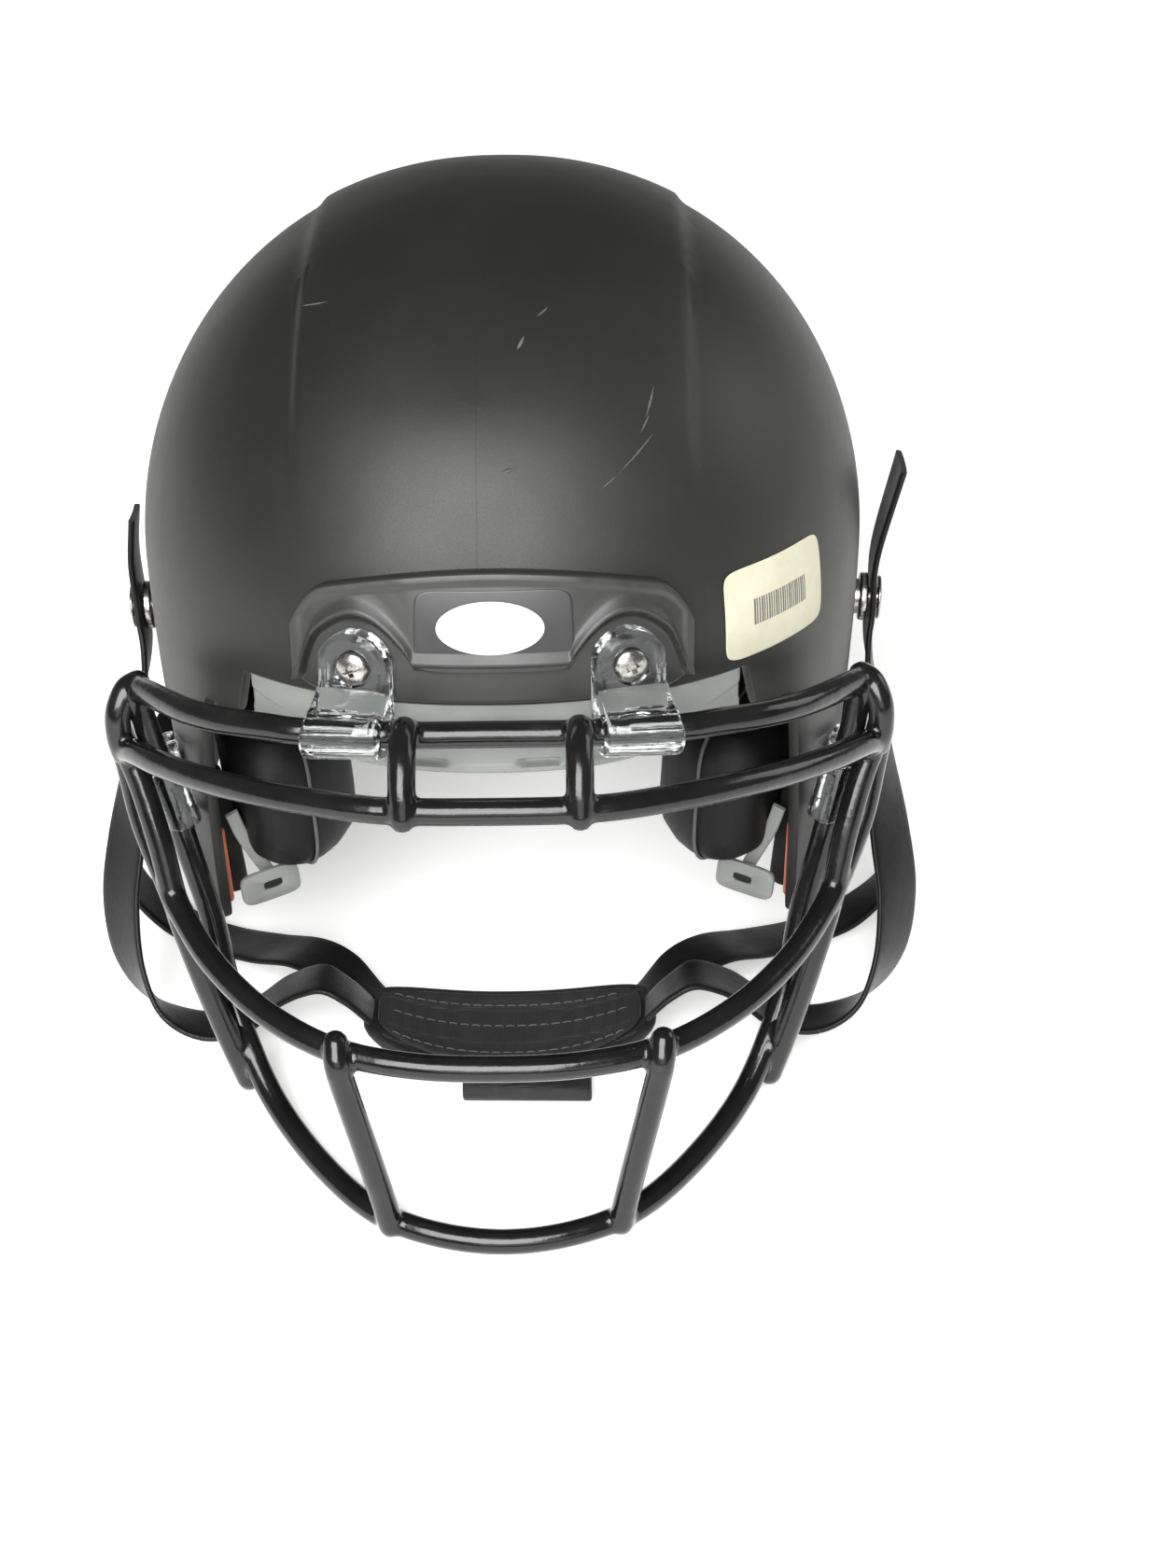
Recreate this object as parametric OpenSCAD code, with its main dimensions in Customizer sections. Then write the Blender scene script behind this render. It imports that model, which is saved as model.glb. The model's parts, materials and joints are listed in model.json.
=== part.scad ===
// American football helmet, youth size: hard shell, inner suspension, wire face mask and chin strap.
// Worn frame: -Y is the front, +Z up, the origin the centre of the dome at its widest level. The pieces
// named left are on the -X side, which is on the left for someone who looks at the face opening.
// The whole helmet is then tipped back so that the chin bar and the rear rim stand on the floor.

/* [Shell] */
// Widest outside width of the shell
shell_width = 218; // [180:1:262]
// Length from the dome centre to the forehead
front_reach = 128; // [106:1:154]
// Length from the dome centre to the back of the head
rear_reach = 130; // [108:1:156]
// Height from the widest level to the crown
crown_height = 104; // [86:1:125]
// Wall thickness of the shell
shell_wall = 3.6; // [2.4:0.1:5]
// Height of the lower edge of the jaw flaps below the widest level
flap_drop = 107; // [98:1:116]
// Height of the neck edge below the widest level
neck_drop = 106; // [96:1:114]
// Diameter of the ear holes
ear_hole_d = 46; // [30:1:52]
// Width of a rear vent slot
vent_w = 9; // [6:0.5:13]

/* [Forehead] */
// Thickness of the front bumper at its raised part
bumper_t = 4.4; // [3:0.2:6]
// Thickness of the front bumper where it is scooped out round the clips
bumper_low_t = 1.6; // [1:0.1:2.2]
// Width of the front bumper, measured along the brow
bumper_w = 106; // [92:1:116]
// Height of the front bumper
bumper_h = 37; // [32:1:42]
// Height of the brow band below the brow edge
band_drop = 21.5; // [16:0.5:26]

/* [Suspension] */
// Diameter of an air cell
cell_d = 34; // [26:1:38]
// Depth of the gap between shell and bonnet that the air cells fill
cell_gap = 16; // [12:1:19]
// Wall of the bonnet that carries the air cells
bonnet_wall = 1.8; // [1.2:0.1:2.6]
// Thickness of the comfort pads
comfort_t = 7; // [4:0.5:9]
// Thickness of the jaw pads
jaw_pad_t = 33; // [24:1:38]

/* [Face mask] */
// Diameter of a coated wire
wire_d = 7.4; // [5.6:0.1:8.8]
// Half distance between the two nose stubs
stub_x = 23.2; // [19:0.2:25]

/* [Clips and fasteners] */
// Width of a loop clip
clip_w = 20; // [17:0.2:22]
// Wall of a loop clip round the wire
clip_wall = 2.6; // [1.8:0.1:3.2]
// Thickness of the flat part of a loop clip
clip_t = 5; // [3.5:0.1:6]
// Diameter of a screw head
head_d = 9.4; // [8:0.1:11]
// Height of a screw head
head_h = 2.6; // [1.8:0.1:3.2]
// Diameter of a screw thread
thread_d = 5; // [4:0.1:5.6]
// Diameter of a strap snap
snap_d = 15; // [12:0.5:17]
// Diameter of a snap stud
stud_d = 7; // [6:0.1:8]

/* [Chin strap] */
// Width of the strap
strap_w = 19; // [15:0.5:22]
// Thickness of the strap
strap_t = 2; // [1.4:0.1:2.4]
// Width of the chin cup from end to end
cup_w = 90; // [78:1:100]
// Length of the chin cup from its rear edge to its front tab
cup_l = 42; // [34:1:46]
// Thickness of the padded chin cup
cup_t = 5; // [4:0.2:6.4]

/* [Hidden] */

half_width = shell_width / 2;
// Shares of the first fitting size, so that mask, straps and pads follow the shell
kx = half_width / 109;
ky = front_reach / 128;
kz = crown_height / 104;
plan_power = 2.2;      // squareness of the shell seen from above
side_power = 2.06;     // squareness of the shell seen from the side
side_taper = 0.004;    // inward lean of the sides below the widest level
back_taper = 0.0115;
taper_power = 1.65;
brow_z = -6;
temple_z = -21;
band_side = 35;        // half angle of the front notch that the brow band fills
notch = 1.5;           // half angle over which the notch's side rises
fit = 0.3;             // gap between neighbouring pieces
hole_fit = 0.3;        // clearance round a screw in its hole
wire_play = 0.8;       // clearance round the bent wire in a loop clip
ear_f = 0;
ear_z = -60;
tilt = 13.1;           // the helmet stands tipped back by this angle
chin_f = 155;          // the chin bar's front: forward of the dome centre, and below it
chin_drop = 163;

// ---- helpers: shell skin -------------------------------------------------------------------------

function clamp01(t) = min(1, max(0, t));
function step(a, b, x) = let(t = clamp01((x - a) / (b - a))) t * t * (3 - 2 * t);
function mix(a, b, t) = a * (1 - t) + b * t;
function unit(v) = v / norm(v);

// A latitude s runs from the crown at 90 degrees to the widest level at 0, and on below it
function height(s, d) = s > 0 ? (crown_height + d) * sin(s) : crown_height * s * PI / 180;
function latitude(z) = z > 0 ? asin(min(1, z / crown_height)) : z / crown_height * 180 / PI;

// Point of the skin at azimuth w (0 at the front, + towards +X), moved out by d
function skin(w, s, d = 0) =
    let(z = height(s, d),
        k = s > 0 ? pow(max(0, 1 - pow(z / (crown_height + d), side_power)), 1 / side_power) : 1,
        low = pow(max(0, -z), taper_power),
        a = (half_width + d) * k - side_taper * low,
        b = cos(w) > 0 ? (front_reach + d) * k - side_taper * low / 2 : (rear_reach + d) * k - back_taper * low,
        r = pow(pow(abs(sin(w)) / a, plan_power) + pow(abs(cos(w)) / b, plan_power), -1 / plan_power))
    [r * sin(w), -r * cos(w), z];

// Azimuth that puts the skin at side distance x, near the front
function azimuth(x, s, d = 0) = x == 0 ? 0
    : let(z = height(s, d),
          k = s > 0 ? pow(max(0, 1 - pow(z / (crown_height + d), side_power)), 1 / side_power) : 1,
          low = pow(max(0, -z), taper_power),
          a = (half_width + d) * k - side_taper * low,
          b = (front_reach + d) * k - side_taper * low / 2,
          y = b * pow(max(0.0001, 1 - pow(min(abs(x), a - 0.1) / a, plan_power)), 1 / plan_power))
      sign(x) * atan2(abs(x), y);

function skin_normal(w, s, d = 0) =
    unit(cross(skin(w + 0.5, s, d) - skin(w - 0.5, s, d), skin(w, s + 0.5, d) - skin(w, s - 0.5, d)));

// Height of the lower rim of the shell at azimuth w
function rim(w) =
    let(v = abs(w),
        brow = mix(brow_z, temple_z, step(band_side - notch, band_side + notch, v))
            - 0.03 * max(0, v - band_side),
        flap = mix(brow, -flap_drop, step(43, 54, v)),
        ear = mix(flap, -flap_drop + 15, step(80, 100, v)))
    mix(ear, -neck_drop, step(112, 150, v));

// ---- helpers: closed solids from grids and paths --------------------------------------------------

// Closed solid between an outer and an inner grid of points [column][row]; ring joins last to first
module between(outer, inner, ring = false) {
    n = len(outer);
    m = len(outer[0]);
    cols = ring ? n : n - 1;
    function o(i, j) = (i % n) * m + j;
    function q(i, j) = n * m + (i % n) * m + j;
    points = concat([for (c = outer) each c], [for (c = inner) each c]);
    faces = concat(
        [for (i = [0:cols - 1], j = [0:m - 2])
            each [[o(i, j), o(i, j + 1), o(i + 1, j + 1)], [o(i, j), o(i + 1, j + 1), o(i + 1, j)]]],
        [for (i = [0:cols - 1], j = [0:m - 2])
            each [[q(i, j), q(i + 1, j + 1), q(i, j + 1)], [q(i, j), q(i + 1, j), q(i + 1, j + 1)]]],
        [for (i = [0:cols - 1]) each [[o(i, 0), o(i + 1, 0), q(i + 1, 0)], [o(i, 0), q(i + 1, 0), q(i, 0)]]],
        ring ? [[for (i = [n - 1:-1:0]) o(i, m - 1)], [for (i = [0:n - 1]) q(i, m - 1)]]
             : concat(
            [for (i = [0:cols - 1])
                each [[o(i, m - 1), q(i, m - 1), q(i + 1, m - 1)], [o(i, m - 1), q(i + 1, m - 1), o(i + 1, m - 1)]]],
            [for (j = [0:m - 2]) each [[o(0, j), q(0, j), q(0, j + 1)], [o(0, j), q(0, j + 1), o(0, j + 1)]]],
            [for (j = [0:m - 2])
                each [[o(n - 1, j), o(n - 1, j + 1), q(n - 1, j + 1)], [o(n - 1, j), q(n - 1, j + 1), q(n - 1, j)]]]));
    polyhedron(points, faces, convexity = 8);
}

// A rounded patch of the skin centred on (w, z): half width in degrees, half height in mm
module pad(w, z, half_w, half_h, outer_d, inner_d, nu = 8, nv = 8, power = 4) {
    function edge(u) = pow(max(0, 1 - pow(abs(u), power)), 1 / power);
    function at(i, j, d) =
        let(u = 0.985 * (2 * i / nu - 1), v = (2 * j / nv - 1) * edge(u))
        skin(w + u * half_w, latitude(z + v * half_h), d);
    between([for (i = [0:nu]) [for (j = [0:nv]) at(i, j, outer_d)]],
            [for (i = [0:nu]) [for (j = [0:nv]) at(i, j, inner_d)]]);
}

// Smooth curve through the points P, n steps to each span
function spline(P, n) = concat(
    [for (i = [0:len(P) - 2], k = [0:n - 1])
        let(a = i > 0 ? P[i - 1] : 2 * P[0] - P[1], b = P[i], c = P[i + 1],
            e = i + 2 < len(P) ? P[i + 2] : 2 * P[i + 1] - P[i], t = k / n)
        ((2 * b) + (c - a) * t + (2 * a - 5 * b + 4 * c - e) * t * t + (3 * b - a - 3 * c + e) * t * t * t) / 2],
    [P[len(P) - 1]]);

function heading(C, i) = unit(C[min(i + 1, len(C) - 1)] - C[max(i - 1, 0)]);

// Solid whose section ring is given at every station along a path
module loft(rings) {
    n = len(rings);
    m = len(rings[0]);
    faces = concat(
        [for (i = [0:n - 2], j = [0:m - 1])
            let(k = (j + 1) % m)
            each [[i * m + j, (i + 1) * m + k, i * m + k], [i * m + j, (i + 1) * m + j, (i + 1) * m + k]]],
        [[for (j = [0:m - 1]) j], [for (j = [m - 1:-1:0]) (n - 1) * m + j]]);
    polyhedron([for (r = rings) each r], faces, convexity = 8);
}

// Round wire along the curve C
module wire(C, d = wire_d, sides = 12, ref = [0, -0.7, 0.7]) {
    loft([for (i = [0:len(C) - 1])
        let(t = heading(C, i), a = unit(cross(ref, t)), b = cross(t, a))
        [for (j = [0:sides - 1]) let(g = 360 * j / sides) C[i] + d / 2 * (cos(g) * a + sin(g) * b)]]);
}

// Flat strap along C, whose width lies along the directions W
module ribbon(C, W, width = strap_w, thick = strap_t) {
    loft([for (i = [0:len(C) - 1])
        let(t = heading(C, i), a = unit(W[i] - (W[i] * t) * t), b = cross(t, a))
        [for (s = [[-1, -1], [1, -1], [1, 1], [-1, 1]]) C[i] + s[0] * width / 2 * a + s[1] * thick / 2 * b]]);
}

// Puts its children on the skin, +Z along the outward normal and +Y up the skin
module on_skin(w, s, d = 0) {
    n = skin_normal(w, s, d);
    side = unit(cross([0, 0, 1], n));
    up = cross(n, side);
    p = skin(w, s, d);
    multmatrix([[side.x, up.x, n.x, p.x], [side.y, up.y, n.y, p.y], [side.z, up.z, n.z, p.z], [0, 0, 0, 1]])
        children();
}

// Point of the mask or strap layout: side, forward and up distances
function lay(x, f, z) = [x * kx, -f * ky, z * kz];
function flip(P) = [for (p = P) [-p.x, p.y, p.z]];
function both(P) = concat([for (i = [len(P) - 1:-1:1]) [-P[i].x, P[i].y, P[i].z]], P);

module stand() {
    translate([0, stand_y, stand_z]) rotate([-tilt, 0, 0]) children();
}

// Place of the tipped helmet over the floor, with its length centred on the origin
function tip(p) = [p.x, p.y * cos(tilt) + p.z * sin(tilt), -p.y * sin(tilt) + p.z * cos(tilt)];
low_front = tip(lay(0, chin_f, -chin_drop));
low_rear = min([for (w = [150:5:180]) tip(skin(w, latitude(rim(w)))).z]);
stand_z = -min(low_front.z - wire_d / 2, low_rear);
front_end = low_front.y - wire_d / 2;
rear_end = max([for (s = [-30:2:40]) tip(skin(180, s, 0)).y]);
stand_y = -(front_end + rear_end) / 2;

// ---- shell -------------------------------------------------------------------------------------

module skin_ring(d_out, d_in, low, columns, rows, top = 89) {
    function row(w, j, d) = skin(w, mix(latitude(low(w)), top, j / rows), d);
    between([for (w = columns) [for (j = [0:rows]) row(w, j, d_out)]],
            [for (w = columns) [for (j = [0:rows]) row(w, j, d_in)]], true);
}

// Azimuths of the shell's columns, closer together at the brow notch and the front edges of the jaw flaps
FRONT_HALF = concat([for (w = [7:7:28]) w], [band_side - notch, band_side + notch],
    [for (w = [40:2:56]) w], [for (w = [60:4:176]) w]);
COLUMNS = concat([for (i = [len(FRONT_HALF) - 1:-1:0]) -FRONT_HALF[i]], [0], FRONT_HALF, [180]);

clip_x = 35 * kx;
clip_s = latitude(5.2);
clip_w_angle = azimuth(clip_x, clip_s);
side_clip_w = 60;
side_clip_s = latitude(-58 * kz);
snap_w = 84;
snap_s = latitude(-25 * kz);
low_snap_w = 112;
low_snap_s = latitude(-78 * kz);
vent_places = [[150, 52], [-150, 52], [165, 30], [-165, 30]];

module outer_shell() color("#2b2c2a") stand() difference() {
    skin_ring(0, -shell_wall, function(w) rim(w), COLUMNS, 16);
    for (sx = [-1, 1]) {
        translate([sx * half_width, -ear_f, ear_z * kz]) rotate([0, 90, 0])
            cylinder(h = 60, d = ear_hole_d, center = true, $fn = 48);
        on_skin(sx * abs(clip_w_angle), clip_s)
            cylinder(h = 20, d = thread_d + 2 * hole_fit, center = true, $fn = 24);
        on_skin(sx * side_clip_w, side_clip_s)
            cylinder(h = 20, d = thread_d + 2 * hole_fit, center = true, $fn = 24);
        on_skin(sx * snap_w, snap_s)
            cylinder(h = 20, d = thread_d + 2 * hole_fit, center = true, $fn = 24);
        on_skin(sx * low_snap_w, low_snap_s)
            cylinder(h = 20, d = thread_d + 2 * hole_fit, center = true, $fn = 24);
    }
    for (v = vent_places) on_skin(v[0], v[1])
        translate([0, 0, -10]) linear_extrude(20) {
            square([vent_w, 22], center = true);
            for (e = [-11, 11]) translate([0, e]) circle(d = vent_w, $fn = 24);
        }
}

// ---- forehead ----------------------------------------------------------------------------------

// Lower lip of the raised part: straight over the nose, lifted in an arc over each clip
scoop_r = clip_w / 2 + 3.4;
function lip(x) =
    let(u = abs(abs(x) - clip_x))
    6 + (u < scoop_r ? 12 * cos(90 * u / scoop_r) : 0)
        - (abs(x) > clip_x ? 9 * step(0.7 * scoop_r, 1.3 * scoop_r, u) : 0);
function bumper_depth(x, z) = mix(bumper_low_t, bumper_t, step(-1.6, 1.6, z - lip(x)));

module front_bumper() {
    cols = 32;
    rows = 12;
    half = bumper_w / 2 * kx;
    function top(x) = brow_z + bumper_h - 8.5 * pow(abs(x) / half, 2)
        - 10 * pow(max(0, abs(x) / half - 0.8) / 0.2, 2.4);
    function bottom(x) = brow_z + 0.6 + 7 * pow(max(0, abs(x) / half - 0.75) / 0.25, 2.4);
    function at(i, j, raised) =
        let(x = half * (2 * i / cols - 1), z = mix(bottom(x), top(x), j / rows), s = latitude(z),
            d = raised ? fit + bumper_depth(x, z) : fit)
        skin(azimuth(x, s), s, d);
    color("#1d1e1d") stand() difference() {
        between([for (i = [0:cols]) [for (j = [0:rows]) at(i, j, true)]],
                [for (i = [0:cols]) [for (j = [0:rows]) at(i, j, false)]]);
        for (sx = [-1, 1]) on_skin(sx * abs(clip_w_angle), clip_s)
            cylinder(h = 30, d = thread_d + 2 * hole_fit, center = true, $fn = 24);
    }
}

module front_emblem() color("white") stand() {
    pad(0, 17.5, azimuth(14.5 * kx, latitude(17.5)), 8, fit + bumper_t + 0.5, fit + bumper_t + 0.1, 12, 4, 2);
}

module brow_band() {
    cols = 30;
    rows = 5;
    half = band_side - notch - 0.5;
    function at(i, j, d) =
        let(w = half * (2 * i / cols - 1), lower = brow_z - band_drop + 9 * pow(abs(w) / half, 3))
        skin(w, latitude(mix(lower, brow_z - fit, j / rows)), d);
    color("#a9aca6") stand()
        between([for (i = [0:cols]) [for (j = [0:rows]) at(i, j, 0)]],
                [for (i = [0:cols]) [for (j = [0:rows]) at(i, j, -shell_wall)]]);
}

module rear_bumper() color("#1d1e1d") stand()
    pad(180, -neck_drop + 24, 26, 15, fit + 2.6, fit, 12, 4);

module size_label() color("#efeee0") stand()
    pad(azimuth(79 * kx, latitude(9)), 9, 10.2, 12.9, 0.4, 0.12, 10, 4, 8);

// ---- suspension --------------------------------------------------------------------------------

cell_out = shell_wall + 0.4;
bonnet_out = cell_out + cell_gap;
bonnet_in = bonnet_out + bonnet_wall;
comfort_out = bonnet_in + 1.4;

function bonnet_rim(w) =
    let(v = abs(w), front = mix(-14, -20, step(20, 40, v)), side = mix(front, -8, step(60, 75, v)))
    mix(side, -62, step(112, 140, v));

module bonnet() color("#a9aca6") stand()
    skin_ring(-bonnet_out, -bonnet_in, function(w) bonnet_rim(w), [for (w = [-180:9:171]) w], 11, 86);

// Air cell standing on the bonnet: a round cushion with a chamfered edge
cell_sink = 2.2;       // room for the curve of the shell over a flat cell
module cell(w, s) on_skin(w, s, -cell_out - cell_sink) rotate([180, 0, 0]) {
    body = cell_gap - cell_sink - 0.8;
    cylinder(h = cell_sink, d1 = cell_d - 6, d2 = cell_d, $fn = 36);
    translate([0, 0, cell_sink]) cylinder(h = body - 2 * cell_sink, d = cell_d, $fn = 36);
    translate([0, 0, body - cell_sink]) cylinder(h = cell_sink, d1 = cell_d, d2 = cell_d - 6, $fn = 36);
}

module crown_cells() color("#17181a") stand() {
    cell(180, 84);
    for (w = [0, 72, 144, -144, -72]) cell(w, 61);
}

module front_cells() color("#17181a") stand()
    for (w = [-50, -17, 17, 50]) cell(w, 24);

module rear_cells() color("#17181a") stand() {
    for (w = [120, 150, 180, -150, -120]) cell(w, 20);
    for (w = [163, -163]) cell(w, -16);
}

module side_cells(sx) for (w = [84]) cell(sx * w, 22);
module side_cells_left() color("#17181a") stand() side_cells(-1);
module side_cells_right() color("#17181a") stand() side_cells(1);

module crown_pad() color("#232426") stand()
    skin_ring(-comfort_out, -comfort_out - comfort_t, function(w) 0.86 * crown_height,
        [for (w = [-180:15:165]) w], 4);

module forehead_pad() color("#232426") stand()
    pad(0, 18, 34, 26, -comfort_out, -comfort_out - comfort_t, 12, 6);

module rear_pad() color("#232426") stand()
    pad(180, -12, 34, 34, -comfort_out, -comfort_out - comfort_t, 12, 6);

module temple_pads() color("#232426") stand()
    for (sx = [-1, 1]) pad(sx * 78, 22, 26, 24, -comfort_out, -comfort_out - comfort_t, 10, 6);

// ---- jaw ---------------------------------------------------------------------------------------

jaw_out = shell_wall + 5;
module jaw_pad(sx) pad(sx * 59, -65.5 * kz, 20, 25.5, -jaw_out - 3, -jaw_out - 3 - jaw_pad_t, 8, 6);
module jaw_pad_left() color("#1b1c1e") stand() jaw_pad(-1);
module jaw_pad_right() color("#1b1c1e") stand() jaw_pad(1);

// Grey plastic carrier between jaw pad and shell, with a slotted tongue that turns inwards under the pad
module jaw_carrier(sx) {
    pad(sx * 60, -80 * kz, 12, 20, -shell_wall - 2.6, -jaw_out + 0.6, 8, 6, 6);
    on_skin(sx * 51, latitude(-98 * kz)) translate([0, 0, -shell_wall - 19.5]) difference() {
        translate([-0.9, -4.5, 0]) cube([1.8, 9, 18.5]);
        translate([-2, -1.4, 6]) cube([4, 2.8, 6.5]);
    }
}
module jaw_carrier_left() color("#b4b6b0") stand() jaw_carrier(-1);
module jaw_carrier_right() color("#b4b6b0") stand() jaw_carrier(1);

// Thin trim that follows the front edge of the jaw flap and turns in at its foot
module jaw_trim(sx) wire(
    [for (w = [49.5:0.75:52.5]) skin(sx * (w + 2.4), latitude(rim(w)), -shell_wall - 1.3),
     skin(sx * 57, latitude(rim(53)), -shell_wall - 1.3), skin(sx * 59.5, latitude(rim(53)), -shell_wall - 1.3)], 2, 8);
module jaw_trim_left() color("#d8622e") stand() jaw_trim(-1);
module jaw_trim_right() color("#d8622e") stand() jaw_trim(1);

// ---- face mask ---------------------------------------------------------------------------------

BROW_PATH = [lay(0, 135.5, -11.3), lay(25, 135.5, -11.2), lay(49, 134.3, -10.5),
    lay(61, 130, -10.8), lay(73, 123.5, -12),
    lay(83, 114.5, -13.8), lay(91, 104, -15.8), lay(98, 93, -18), lay(104, 83, -20.5)];
EYE_PATH = [lay(0, 157, -23.3), lay(28, 155, -23.7), lay(50, 147, -24.5), lay(66, 137.5, -26),
    lay(81, 124, -29),
    lay(94, 108.5, -32.5), lay(103, 95, -35.5), lay(108.5, 85, -39)];
JAW_PATH = [lay(0, 160, -101), lay(24, 158, -101), lay(46, 151, -100), lay(66, 138, -96), lay(82, 120, -91),
    lay(93, 103, -84), lay(100, 92, -74), lay(105, 86, -62), lay(108, 82, -48), lay(109, 82, -42)];
CHIN_PATH = [lay(0, chin_f, -chin_drop), lay(20, 152, -162.2), lay(38, 143.5, -160),
    lay(55, 126, -155.5), lay(70, 106, -147),
    lay(80, 92, -131), lay(85, 85, -115), lay(88.7, 79, -98), lay(93.8, 75.6, -80), lay(97.6, 75, -62),
    lay(100.6, 79, -44), lay(103, 85, -26), lay(104, 86, -21)];
STUB_PATH = [lay(0, 136, -9.5), lay(0, 142, -7.3), lay(0, 149, -9.5), lay(0, 155, -16), lay(0, 158, -24.5)];
LINK_PATH = [lay(103.5, 82, -19.5), lay(106.3, 85.5, -20.5), lay(108.6, 88, -26),
    lay(109, 88, -33), lay(108.5, 86, -39.5)];
SIDE_PATH = [lay(108, 85, -38), lay(103.5, 89, -50), lay(99, 94, -66), lay(95, 98.5, -85), lay(90, 99, -105),
    lay(85, 97, -125), lay(79, 95, -146)];
FRONT_PATH = [lay(45, 154, -96), lay(44.5, 157, -101), lay(43, 156, -110), lay(36, 151, -145),
    lay(33, 148.5, -162)];

module brow_bar() color("#101110") stand() wire(spline(both(BROW_PATH), 3));
module eye_bar() color("#101110") stand() wire(spline(both(EYE_PATH), 3));
module jaw_bar() color("#101110") stand() wire(spline(both(JAW_PATH), 3));
module chin_bar() color("#101110") stand() wire(spline(both(CHIN_PATH), 3));
module nose_stubs() color("#101110") stand()
    for (sx = [-1, 1]) translate([sx * stub_x, 0, 0]) wire(spline(STUB_PATH, 3), ref = [1, 0, 0]);
module end_links() color("#101110") stand() {
    wire(spline(LINK_PATH, 3), ref = [0, 1, 0]);
    wire(spline(flip(LINK_PATH), 3), ref = [0, 1, 0]);
}
module side_upright_left() color("#101110") stand() wire(spline(flip(SIDE_PATH), 3), ref = [0, 1, 0]);
module side_upright_right() color("#101110") stand() wire(spline(SIDE_PATH, 3), ref = [0, 1, 0]);
module front_upright_left() color("#101110") stand() wire(spline(flip(FRONT_PATH), 3), ref = [1, 0, 0]);
module front_upright_right() color("#101110") stand() wire(spline(FRONT_PATH, 3), ref = [1, 0, 0]);

// ---- clips and fasteners -----------------------------------------------------------------------

// Loop clip: flat tongue with a screw hole, and a ring round the wire at distance reach below the screw
module loop_clip(reach, lift, base, ring_lean, wall, play) difference() {
    union() {
        translate([0, 0, base]) linear_extrude(clip_t) hull() {
            circle(d = clip_w, $fn = 48);
            translate([0, -reach / 2]) square([clip_w, 1], center = true);
        }
        hull() {
            translate([0, -reach / 2, base + clip_t / 2]) cube([clip_w, 1, clip_t], center = true);
            translate([0, -reach, lift]) rotate([0, 90 - ring_lean, 0])
                cylinder(h = clip_w, d = wire_d + 2 * play + 2 * wall, center = true, $fn = 32);
        }
    }
    translate([0, -reach, lift]) rotate([0, 90 - ring_lean, 0])
        cylinder(h = clip_w + 12, d = wire_d + 2 * play, center = true, $fn = 32);
    cylinder(h = 60, d = thread_d + 2 * hole_fit, center = true, $fn = 24);
    translate([0, 0, base + clip_t - 1.2]) cylinder(h = 30, d = head_d + 1, $fn = 32);
}

brow_base = fit + bumper_low_t + fit;
brow_clip_reach = 16.6 * kz;
brow_clip_lift = 11.6;
brow_clip_lean = 15.7;
module brow_clip(sx) on_skin(sx * abs(clip_w_angle), clip_s)
    loop_clip(brow_clip_reach, brow_clip_lift, brow_base, sx * brow_clip_lean, clip_wall, wire_play);
module brow_clip_left() color("#d9dcdc", 0.5) stand() brow_clip(-1);
module brow_clip_right() color("#d9dcdc", 0.5) stand() brow_clip(1);

side_base = fit + 0.4;
side_clip_reach = 18.2;
side_clip_lift = 7.1;
side_clip_lean = 7.3;
module side_clip(sx) on_skin(sx * side_clip_w, side_clip_s)
    rotate([0, 0, -sx * 90]) loop_clip(side_clip_reach, side_clip_lift, side_base, -sx * side_clip_lean,
        0.5 * clip_wall, wire_play + 0.5);
module side_clip_left() color("#d9dcdc", 0.5) stand() side_clip(-1);
module side_clip_right() color("#d9dcdc", 0.5) stand() side_clip(1);

// Domed screw with a cross and slot in its head; base is the height of the clip's seat
module screw(seat) {
    translate([0, 0, -shell_wall - 3]) cylinder(h = seat + shell_wall + 3, d = thread_d, $fn = 24);
    translate([0, 0, seat]) difference() {
        intersection() {
            cylinder(h = head_h, d = head_d, $fn = 36);
            translate([0, 0, head_h - head_d]) sphere(d = 2 * head_d, $fn = 48);
        }
        translate([0, 0, head_h]) for (g = [0, 90]) rotate(g) cube([head_d * 0.62, 1.1, 2.4], center = true);
    }
}
module brow_screws() color("silver") stand()
    for (sx = [-1, 1]) on_skin(sx * abs(clip_w_angle), clip_s) screw(brow_base + clip_t - 1.2 + 0.05);
module side_screws() color("silver") stand()
    for (sx = [-1, 1]) on_skin(sx * side_clip_w, side_clip_s) screw(side_base + clip_t - 1.2 + 0.05);

module tee_nut() translate([0, 0, -shell_wall - 2.3]) difference() {
    cylinder(h = 1.4, d = 15, $fn = 36);
    translate([0, 0, -1]) cylinder(h = 4, d = thread_d + 0.1, $fn = 24);
}
module clip_nuts() color("silver") stand() for (sx = [-1, 1]) {
    on_skin(sx * abs(clip_w_angle), clip_s) tee_nut();
    on_skin(sx * side_clip_w, side_clip_s) tee_nut();
}

module stud() {
    translate([0, 0, -shell_wall - 1.5]) cylinder(h = 1.3, d = 11, $fn = 32);
    translate([0, 0, -shell_wall - 0.5]) cylinder(h = shell_wall + 1, d = thread_d, $fn = 24);
    translate([0, 0, 0.2]) cylinder(h = 1.2, d = 11, $fn = 32);
    translate([0, 0, 1]) cylinder(h = 2.4, d = stud_d, $fn = 28);
}
module snap_studs() color("silver") stand() for (sx = [-1, 1]) {
    on_skin(sx * snap_w, snap_s) stud();
    on_skin(sx * low_snap_w, low_snap_s) stud();
}

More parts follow.
